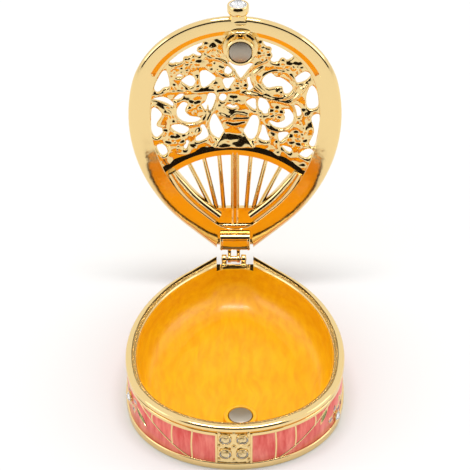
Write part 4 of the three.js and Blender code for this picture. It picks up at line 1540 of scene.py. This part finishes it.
class FANBOX_OT_lid_fan(bpy.types.Operator):
    """Builds the fan's arched band, its sticks, guards and hub"""

    bl_idname = "fanbox.lid_fan"
    bl_label = "Fan of the lid"

    def execute(self, context):
        s = sizes()
        bm = bmesh.new()
        low = plate_low(s)
        high = plate_high(s)
        ridged = [(-FAN_SLOPE, low + mm(0.3)), (-mm(0.2), low - FAN_RIDGE * 0.9), (0, low - FAN_RIDGE)]
        ridged += [(FAN_LEDGE, low - mm(0.2)), (FAN_LEDGE, high), (-FAN_SLOPE, high)]
        sweep(bm, fan_arc(36), ridged)
        hub_front = back_face(s) - BLOCK_FRONT - HUB_LENGTH
        for i in range(-STICKS_PER_SIDE, STICKS_PER_SIDE + 1):
            turn = math.asin((i * STICK_SPACING - FAN_OFFSET) / FAN_RADIUS)
            spread = (1 - STICK_CLOSING ** abs(i)) / (1 - STICK_CLOSING**STICKS_PER_SIDE)
            foot = math.copysign(HUB_HALF_WIDTH * spread, i) if i else 0
            path = [fan_point(turn), Vector((foot, hub_front + mm(1), 0))]
            line = [path[0].lerp(path[1], k / 6) for k in range(7)]
            if i:
                sweep(bm, line, bar_section(s, STICK_WIDTH, ridge=mm(0.15), crown=0.4))
                continue
            # The middle stick is a pair of ridges that run on over the hub
            line.append(Vector((0, hub_front + HUB_LENGTH - mm(0.4), 0)))
            for side in (-1, 1):
                beside = [p + Vector((side * STICK_WIDTH * 0.5, 0, 0)) for p in line]
                sweep(bm, beside, bar_section(s, STICK_WIDTH * 1.05, ridge=mm(0.45), crown=0.4))
        corners = [
            (-HUB_HALF_WIDTH - mm(0.5), hub_front),
            (HUB_HALF_WIDTH + mm(0.5), hub_front),
            (BLOCK_WIDTH / 2, hub_front + HUB_LENGTH + mm(1)),
            (-BLOCK_WIDTH / 2, hub_front + HUB_LENGTH + mm(1)),
        ]
        loft(bm, [(corners, low), (corners, high)])
        centre = flank_centre(s)
        half = GUARD_WIDTH / 2
        face = lid_face(s)
        section = [(half, high), (-half, high)]
        for i in range(GUARD_STEPS + 1):
            turn = math.pi * i / GUARD_STEPS
            section.append((-half * math.cos(turn), face + mm(0.5) - GUARD_RISE * math.sin(turn)))
        guards = bmesh.new()
        for side in (-1, 1):
            path = []
            end = math.pi / 2 - s.side_angle
            for k in range(GUARD_STEPS + 1):
                turn = GUARD_START + (end - GUARD_START) * k / GUARD_STEPS
                reach = s.flank_radius - GUARD_INSET
                x = centre.x + reach * math.cos(turn)
                path.append(Vector((side * x, centre.y + reach * math.sin(turn), 0)))
            x = BLOCK_WIDTH / 2 + mm(0.6)
            path.append(Vector((side * x, side_y(s, GUARD_INSET, x), 0)))
            sweep(guards, smooth_path(path, 3), section, taper=guard_taper)
        add_piece("lid_guards", guards, polished_gold(), lid=True)
        dome(bm, s)
        add_piece("lid_fan", bm, polished_gold(), lid=True, sharp_above=30)
        return {"FINISHED"}


# Openings of the openwork between its stems and leaves, in millimetres on the shut lid
OPENINGS = (
    ((-17.3, -11.2), (-13.6, -15.2), (-8, -17.9), (-8.7, -13.2), (-11.6, -13.3), (-14.3, -11.2)),
    ((-18.4, -9), (-17.3, -4.2), (-18.8, -3.6), (-20.4, -2.2), (-21, -4.2)),
    ((-15.6, -6.8), (-14.4, -7.8), (-13.8, -6.9)),
    ((-11.8, -7.2), (-10.5, -5.6), (-11.3, -3.7), (-12.6, -4.2), (-14, -5.7)),
    ((-9, -8.2), (-7.4, -8.5), (-5.2, -6.4), (-6.4, -4.6), (-8.4, -3.3), (-9, -5.4)),
    ((-2.9, -8.2), (-2, -9.9), (-0.8, -8.8), (-1.6, -7.3)),
    ((-3.1, -5.8), (-0.1, -6.4), (-1.3, -3.8), (-2.1, -2.7)),
    ((-21.8, -0.2), (-19, -0.8), (-16.8, 0.5), (-16.1, 2.5), (-17.6, 1.5), (-19.6, 0.5)),
    ((-16.1, 0), (-14.6, -1.5), (-13.5, -1.4), (-14.6, 0)),
    (
        *((-13.6, 0.9), (-12.4, 2), (-13.2, 3.6), (-12, 5), (-9.1, 5.8)),
        *((-10.2, 7.1), (-12.8, 7.2), (-14.8, 5.8), (-15.2, 3.2)),
    ),
    ((-6.8, -1.6), (-5.2, -1), (-5.8, 2), (-6.9, 3.9), (-8.9, 2.1), (-7.6, 0.8)),
    ((-3.6, -1.5), (-2.3, -0.8), (-3, 0.9), (-4.1, 0.2)),
    ((-2.3, 2.2), (-0.8, 1.8), (0.7, 2.2), (-0.6, 3.1)),
    ((-21.9, 2.9), (-20.6, 2.7), (-19.4, 4.8), (-20.8, 7.6), (-18.8, 8.9), (-20.7, 11.5), (-22, 9)),
    ((-16.8, 7.9), (-14.8, 7.7), (-12.3, 8.9), (-13.5, 10.7), (-15.8, 9.8)),
    ((-8.7, 7.8), (-7.2, 10.8), (-8, 12.4), (-10.4, 12.8)),
    ((-5.6, 4.7), (-4.4, 6.4), (-3, 10), (-3.4, 12.6), (-5.8, 11), (-6.6, 8)),
    ((-13.7, 13), (-12.3, 12.9), (-13.2, 15.5)),
    ((-20.7, 14), (-18.9, 13.8), (-18, 16), (-19.4, 17)),
    ((-1.6, -11.4), (1.4, -10.2), (4.7, -10.7), (2.8, -7.6), (1.5, -5.8), (0.2, -7.8)),
    ((7.2, -17.9), (9.4, -17.2), (15.1, -13.6), (12.8, -11.5), (9.6, -11.3), (9.5, -14.4), (8, -16.2)),
    ((3.2, -6.7), (4.3, -5.8), (4.8, -3.8), (3.2, -1.7), (3.5, -4)),
    (
        *((7.3, -5.6), (9, -8), (10.8, -6.6), (12.2, -6.4), (15, -3.8)),
        *((14, -1.6), (12.8, -1.8), (12.4, -3.6), (10.6, -3.6), (8.6, -3.2)),
    ),
    ((15.3, -5), (16, -6.8), (18.4, -8.5), (19.7, -7.2), (17.6, -5.3)),
    ((20, -4.3), (21.4, -2.6), (21.8, 1.8), (19.4, 2.7), (18.9, -0.8)),
    ((3, 1.2), (5.2, 0), (5.4, 3.5)),
    ((6.4, 0.1), (8, 0.2), (9.1, 3), (8, 4.8), (6.4, 3)),
    (
        *((12.3, 3.6), (14, 3.1), (15.3, 5), (14.8, 7.4)),
        *((12.8, 8.9), (10.4, 8.5), (9.1, 6.5), (11.4, 7.1), (13.2, 6)),
    ),
    ((15, 1.9), (16.8, 2.2), (17.5, 4), (16.5, 5.3)),
    ((20.2, 5.6), (22.2, 4.3), (21.9, 9), (21, 14.2), (19.7, 13.2), (21, 9.4)),
    ((4.7, 5.1), (6.2, 6.4), (5.6, 11), (4.2, 12.6), (2.2, 10.6), (3.2, 8.2)),
    ((7.5, 7.6), (8.4, 10.6), (9.1, 12.9), (6.3, 12)),
    ((11.7, 10.3), (14.3, 10.4), (12.6, 12.4), (11.9, 13.3)),
    ((12.4, 14.2), (14.9, 15), (14.4, 16.4)),
    ((17.2, 16.6), (19.4, 14.9), (20.7, 15.7), (19, 17.8)),
)


def stem(bm, s, points, width, ridge=0.45):
    """A raised line of the openwork through points in millimetres."""
    path = smooth_path([Vector((mm(x), mm(y), 0)) for x, y in points], 5)
    sweep(bm, path, bar_section(s, mm(width), ridge=mm(ridge), crown=0.55))


def arc_points(x, y, radius_x, radius_y, start, end, count):
    """Points along part of an ellipse between two angles in degrees."""
    points = []
    for i in range(count + 1):
        turn = math.radians(start + i / count * (end - start))
        points.append((x + radius_x * math.cos(turn), y + radius_y * math.sin(turn)))
    return points


def petal(bm, s, x, y, long_side, width, turn, lean=0):
    """A rounded petal or leaf on the openwork, leaning out of its face by an angle."""
    middle = (plate_low(s) + plate_high(s)) / 2
    place = Matrix.Translation((mm(x), mm(y), middle)) @ Matrix.Rotation(math.radians(turn), 4, "Z")
    place = place @ Matrix.Rotation(math.radians(lean), 4, "Y")
    add_ball(bm, place @ Matrix.Diagonal((mm(long_side) / 2, mm(width) / 2, s.plate_thickness * 0.8, 1)))


def flower(bm, s, x, y, size, petals=5, turn=0):
    """A flower with cupped petals about a bead, standing out on both faces."""
    for i in range(petals):
        heading = math.radians(turn) + i / petals * math.tau
        reach = size * 0.62
        petal(
            bm,
            s,
            x + reach * math.cos(heading),
            y + reach * math.sin(heading),
            size * 1.25,
            size * 0.95,
            math.degrees(heading),
            20,
        )
    petal(bm, s, x, y, size * 0.7, size * 0.7, 0)


def openwork_plate(s):
    """The plate between the ring and the fan, with its openings cut out."""
    low = plate_low(s)
    high = plate_high(s)
    bm = bmesh.new()
    back = back_face(s) - BLOCK_FRONT
    outline = rounded_plan(s, s.ring_width - mm(0.7), back, s.back_fillet)
    loft(bm, [(outline, low), (outline, high)])
    plate = plain_object("plate", bm)

    bm = bmesh.new()
    reach = mm(50)
    arc = fan_arc(24)
    fan = [(p.x, p.y) for p in arc]
    fan += [(reach, arc[-1].y), (reach, reach), (-reach, reach), (-reach, arc[0].y)]
    holes = [fan]
    for opening in OPENINGS:
        corners = [Vector((mm(x), mm(y))) for x, y in opening]
        centre = sum(corners, Vector((0, 0))) / len(corners)
        grown = [p + (p - centre).normalized() * OPENING_GROWTH for p in corners]
        holes.append([(p.x, p.y) for p in closed_curve(grown, 4)])
    for hole in holes:
        loft(bm, [(hole, low - mm(1)), (hole, high + mm(1))])
    bmesh.ops.recalc_face_normals(bm, faces=bm.faces)
    cutter = plain_object("openings", bm)
    cut = plate.modifiers.new("cut", "BOOLEAN")
    cut.operation = "DIFFERENCE"
    cut.solver = "EXACT"
    cut.use_self = True
    cut.object = cutter
    apply_modifiers(plate)
    bm = bmesh.new()
    bm.from_mesh(plate.data)
    bpy.data.objects.remove(cutter)
    bpy.data.objects.remove(plate)
    return bm


def plain_object(name, bm):
    """An undressed object of a bmesh, for a step of the modelling."""
    bmesh.ops.recalc_face_normals(bm, faces=bm.faces)
    mesh = bpy.data.meshes.new(name)
    bm.to_mesh(mesh)
    bm.free()
    made = bpy.data.objects.new(name, mesh)
    bpy.context.scene.collection.objects.link(made)
    return made


def welded(bm, voxel, passes):
    """The same form as one skin of small faces, softened as a casting is."""
    piece = plain_object("weld", bm)
    weld = piece.modifiers.new("weld", "REMESH")
    weld.mode = "VOXEL"
    weld.voxel_size = voxel
    apply_modifiers(piece)
    bm = bmesh.new()
    bm.from_mesh(piece.data)
    bpy.data.objects.remove(piece)
    for _ in range(passes):
        bmesh.ops.smooth_vert(
            bm, verts=bm.verts, factor=0.5, use_axis_x=True, use_axis_y=True, use_axis_z=True
        )
    return bm


class FANBOX_OT_lid_foliage(bpy.types.Operator):
    """Builds the vase, scrolls, stems, leaves and flowers of the openwork"""

    bl_idname = "fanbox.lid_foliage"
    bl_label = "Foliage of the lid"

    def execute(self, context):
        s = sizes()
        bm = openwork_plate(s)
        # Ribbon below the magnet
        ribbon = [(-8.6, -16), (-8.4, -14), (-6.6, -12.8), (-3.2, -11.6), (-0.8, -9.2), (1.5, -5.4)]
        stem(bm, s, ribbon, 0.6)
        stem(bm, s, [(9.4, -14), (8.6, -12), (5, -10.2), (2.6, -7), (1.5, -5.4)], 0.6)
        stem(bm, s, [(7.4, -9.8), (4.9, -7.6), (5, -4.6), (7.3, -2)], 1.5, 0.6)
        stem(bm, s, [(-5.4, -11), (-5, -8.6), (-3.2, -7), (-1, -6.9), (0.1, -8.6)], 0.7)
        # Scrolls, with the stems beside the vase
        stem(bm, s, arc_points(-11.6, 3, 4.5, 4.9, -150, -370, 8), 0.6)
        stem(bm, s, arc_points(11.5, 4.8, 4.6, 4.9, -60, 190, 8), 0.6)
        stem(bm, s, arc_points(11.2, -4.4, 4.7, 4.3, -170, 100, 9), 0.7)
        stem(bm, s, [(-5.8, 13), (-7.2, 9), (-7, 6), (-5.2, 3), (-4.6, -1), (-5.2, -4)], 0.6)
        stem(bm, s, [(5.4, 13), (6.8, 9), (6.4, 5.4), (5.8, 2), (5.9, -1.4)], 0.6)
        # Stems that run out to the ring
        stem(bm, s, [(-22, -1.3), (-16.5, -2.4), (-11, -2.2), (-6, -2.4), (1.6, -2.2)], 1.1, 0.2)
        stem(bm, s, [(1.6, -2), (7, -1), (13.6, 0.8), (16.9, -1.8), (19, -5)], 1.3, 0.7)
        stem(bm, s, [(-20.6, 1.4), (-17.4, 4), (-17.2, 7), (-17.8, 12)], 1.1)
        stem(bm, s, [(17.8, 3), (18.4, 6), (18.8, 9), (17.6, 12)], 1.1)
        for x, y, size, petals, turn in (
            (-7.2, -14.9, 2.4, 5, 40),
            (-11.4, -11.2, 2.2, 5, 0),
            (-16, -9.6, 1.4, 5, 10),
            (-3.6, -9.2, 1.2, 4, 60),
            (7.6, -14, 2.1, 5, 30),
            (12.6, -9.9, 2.3, 5, 50),
            (16.4, -10, 1.6, 5, 20),
            (1.6, -3.8, 1.7, 5, 70),
            (-0.4, 0.4, 1.5, 5, 20),
            (-5, -4.2, 1.1, 5, 0),
            (-10.6, 2.4, 2.1, 5, 20),
            (10.9, 4.4, 2, 5, 60),
            (11.4, -2, 1.2, 5, 0),
            (-15.8, 13.2, 2.4, 6, 0),
            (16.6, 12.2, 2.5, 6, 20),
            (-18.2, 9.8, 1.2, 4, 45),
            (-13.4, -8.8, 1.4, 5, 0),
        ):
            flower(bm, s, x, y, size, petals, turn)
        for place in (
            (-18.8, 3.2, 4.6, 1.9, 50, 20),
            (18.6, 5.2, 4, 1.9, -55, 24),
            (17.2, -2.6, 4.4, 2, -58, 30),
            (13.6, 0.6, 2.6, 1.6, 40, 20),
            (-9.9, 10.2, 3.8, 1.9, -55, 20),
            (9.8, 10.4, 3.8, 2, 65, 20),
            (-11.2, 14.4, 2.6, 1.5, 20, 25),
            (11, 13.4, 2.8, 1.4, 80, 25),
            (-15.8, -4.2, 2.8, 1.3, 65, 20),
            (-12.6, -3, 2.6, 1.3, 20, 25),
            (-9.8, -3.6, 2, 1.2, -40, 20),
            (-9.8, -6.6, 2.2, 1.2, 80, 20),
            (-4.6, -14.6, 4, 1.5, 60, 25),
            (-4.4, -17.4, 3, 1.4, 40, 20),
            (6.6, -16.8, 3, 1.4, -70, 20),
        ):
            petal(bm, s, *place)
        # The vase: its mouth with rolled leaves, the ribs of its body and its foot on the fan
        stem(bm, s, [(-4.2, 4.4), (-1.6, 5.6), (0.4, 4.4), (3.4, 5)], 1, 0.6)
        stem(bm, s, [(-3, 6.2), (0.2, 6.2), (3.6, 6)], 0.8, 0.4)
        stem(bm, s, [(-2.4, 7.4), (0, 8), (2.6, 7.2)], 0.5, 0.3)
        low = plate_low(s)
        foot = [(-3, 10, 0.1), (2.2, 10, 0.1), (5, 14.6, -0.75), (-5.6, 14.6, -0.75)]
        corners = [bm.verts.new((mm(x), mm(y), low + mm(rise))) for x, y, rise in foot]
        corners += [bm.verts.new((mm(x), mm(y), low + mm(1))) for x, y, rise in foot]
        bmesh.ops.convex_hull(bm, input=corners)

        bm = welded(bm, WELD_SIZE, WELD_SOFTENING)
        low_face = plate_low(s) + mm(0.3)
        for vert in bm.verts:
            if vert.co.z < low_face:
                place = vert.co * DIMPLE_SCALE
                vert.co.z += noise.noise(place) * DIMPLE_DEPTH + noise.noise(place * 2) * FINE_DIMPLE_DEPTH
        dome(bm, s)
        add_piece("lid_foliage", bm, polished_gold(), lid=True, sharp_above=180)
        return {"FINISHED"}


class FANBOX_OT_lid_fittings(bpy.types.Operator):
    """Builds the hinge block, the magnet boss and the clasp of the lid"""

    bl_idname = "fanbox.lid_fittings"
    bl_label = "Fittings of the lid"

    def execute(self, context):
        s = sizes()
        gold = polished_gold()
        low = lid_face(s) - BLOCK_DROP
        back = back_face(s) - BLOCK_GAP
        high = lid_top(s) - BLOCK_GAP
        bm = bmesh.new()
        half = BLOCK_WIDTH / 2
        add_block(bm, (-half, back - BLOCK_DEPTH, low), (half, back, high), mm(0.45), 4)
        add_block(
            bm,
            (-half - mm(1), back - BLOCK_FRONT - mm(1), lid_face(s) + mm(0.3)),
            (half + mm(1), back - mm(1), high),
            mm(0.4),
            4,
        )
        # The roll along the block's front and the rounded frame of its face
        face = low + FRAME_LIFT
        rods = [
            (ROLL_RADIUS, half, (0, back - BLOCK_DEPTH + mm(0.1), low + ROLL_RADIUS), ALONG_X),
            (FRAME_RADIUS, half, (0, back - FRAME_RADIUS, face), ALONG_X),
        ]
        for side in (-1, 1):
            centre = (side * (half - FRAME_RADIUS), back - BLOCK_DEPTH / 2, face)
            rods.append((FRAME_RADIUS, BLOCK_DEPTH / 2, centre, FORWARD))
        for radius, reach, centre, facing in rods:
            rod = rod_profile(radius, radius * 0.8, reach, mm(0.15))
            add_lathe(bm, rod, 28, Matrix.Translation(centre) @ facing)
        knuckle = rod_profile(KNUCKLE_RADIUS, KNUCKLE_RADIUS - BARREL_EDGE, ARM_WIDTH / 2, BARREL_EDGE)
        for side in (-1, 1):
            middle = HINGE_X + side * (WINDOW_WIDTH + ARM_WIDTH) / 2
            add_lathe(bm, knuckle, HINGE_STEPS, hinge_place(middle))
            add_block(
                bm,
                (middle - ARM_WIDTH / 2, back - mm(1), low + mm(0.1)),
                (middle + ARM_WIDTH / 2, HINGE_Y + KNUCKLE_RADIUS * 0.8, lid_face(s) + mm(1)),
                mm(0.12),
            )
        reach = (WINDOW_WIDTH + ARM_WIDTH) / 2
        barrel = [(0, -reach), (BARREL_RADIUS, -reach), (BARREL_RADIUS, reach), (0, reach)]
        add_lathe(bm, barrel, HINGE_STEPS, hinge_place(HINGE_X))
        add_piece("lid_hinge_block", bm, gold, lid=True)

        # The boss that holds the magnet, with its turned collar
        bm = bmesh.new()
        seat = s.magnet_radius + SEAT_CLEARANCE
        boss = seat + SEAT_WALL
        face = MAGNET_TOP + MAGNET_GAP - mm(0.1)
        collar = lid_face(s) - mm(0.6)
        top = plate_high(s)
        profile = [
            (0, face + MAGNET_THICKNESS + mm(0.2)),
            (seat, face + MAGNET_THICKNESS + mm(0.2)),
            (seat, face + mm(0.1)),
            (seat + mm(0.1), face),
            (boss - mm(0.2), face),
            (boss, face + mm(0.2)),
            (boss, collar - mm(0.2)),
            (boss + mm(0.65), collar),
            (boss + mm(0.8), collar + mm(0.3)),
            (boss + mm(0.8), top - mm(0.4)),
            (boss + mm(0.4), top),
            (0, top),
        ]
        add_lathe(bm, profile, DISC_STEPS, magnet_place(s))
        rim_back = -s.front_reach + s.wall
        for y, wide, deep, drop in (
            (rim_back - mm(1.2), mm(2.2), mm(0.85), mm(0.2)),
            (rim_back + mm(1.2), mm(2.7), mm(0.8), mm(1.5)),
            (rim_back + mm(2.2), mm(2.3), mm(0.7), mm(1.2)),
        ):
            centre = Matrix.Translation((MAGNET_OFFSET, y, lid_face(s) + mm(0.3)))
            add_ball(bm, centre @ Matrix.Diagonal((wide, deep, drop + mm(0.3), 1)), 28, 16)
        add_block(
            bm,
            (MAGNET_OFFSET - mm(3.1), rim_back - mm(0.4), lid_face(s) + mm(0.1)),
            (MAGNET_OFFSET + mm(3.1), rim_back + mm(4), plate_high(s)),
            mm(0.3),
        )
        add_piece("magnet_boss", bm, gold, lid=True, sharp_above=40)

        # The cup of the clasp on its neck
        bm = bmesh.new()
        inner = s.clasp_stone_radius + STONE_CLEARANCE
        cup = [
            (0, -CUP_LENGTH),
            (NECK_RADIUS, -CUP_LENGTH),
            (CUP_RADIUS - mm(0.25), -CUP_LENGTH + mm(0.15)),
            (CUP_RADIUS, -CUP_LENGTH + mm(0.6)),
            (CUP_RADIUS, mm(-0.25)),
            (CUP_RADIUS - mm(0.2), 0),
            (inner + mm(0.1), 0),
            (inner, mm(-0.15)),
            (inner, mm(-1.3)),
            (0, mm(-1.3)),
        ]
        add_lathe(bm, cup, 48, clasp_place(s))
        root = CLASP_REACH - s.lid_inset + mm(2.5)
        end = CUP_LENGTH - mm(0.3)
        neck = [(0, -root), (NECK_RADIUS, -root), (NECK_RADIUS, -end), (0, -end)]
        for vert in add_lathe(bm, neck, 40, clasp_place(s)):
            vert.co.z = max(vert.co.z, lid_face(s) + mm(0.02))
        add_piece("clasp_cup", bm, gold, lid=True, sharp_above=45)
        return {"FINISHED"}


class FANBOX_PT_panel(bpy.types.Panel):
    """Lists the pieces of the trinket box"""

    bl_idname = "FANBOX_PT_panel"
    bl_label = "Fan Trinket Box"
    bl_space_type = "VIEW_3D"
    bl_region_type = "UI"
    bl_category = "Trinket Box"

    def draw(self, context):
        for step in BUILD_ORDER:
            self.layout.operator(step.bl_idname)
        for group in (
            context.scene.fan_box_sizes,
            context.scene.fan_box_colours,
            context.scene.fan_box_studio,
        ):
            column = self.layout.column()
            for name in group.bl_rna.properties.keys():
                if name not in ("rna_type", "name"):
                    column.prop(group, name)


BUILD_ORDER = (
    FANBOX_OT_stage,
    FANBOX_OT_box_casting,
    FANBOX_OT_tray_enamel,
    FANBOX_OT_band,
    FANBOX_OT_sprays,
    FANBOX_OT_front_panel,
    FANBOX_OT_hinge,
    FANBOX_OT_lid_ring,
    FANBOX_OT_lid_fan,
    FANBOX_OT_lid_foliage,
    FANBOX_OT_lid_fittings,
    FANBOX_OT_magnets,
    FANBOX_OT_crystals,
)
CLASSES = (FanBoxSizes, FanBoxColours, FanBoxStudio, *BUILD_ORDER, FANBOX_PT_panel)


def register():
    for cls in CLASSES:
        bpy.utils.register_class(cls)
    bpy.types.Scene.fan_box_sizes = PointerProperty(type=FanBoxSizes)
    bpy.types.Scene.fan_box_colours = PointerProperty(type=FanBoxColours)
    bpy.types.Scene.fan_box_studio = PointerProperty(type=FanBoxStudio)


def unregister():
    del bpy.types.Scene.fan_box_studio
    del bpy.types.Scene.fan_box_colours
    del bpy.types.Scene.fan_box_sizes
    for cls in reversed(CLASSES):
        bpy.utils.unregister_class(cls)


def main():
    register()
    for step in BUILD_ORDER:
        group, name = step.bl_idname.split(".")
        getattr(getattr(bpy.ops, group), name)()


if __name__ == "__main__":
    main()
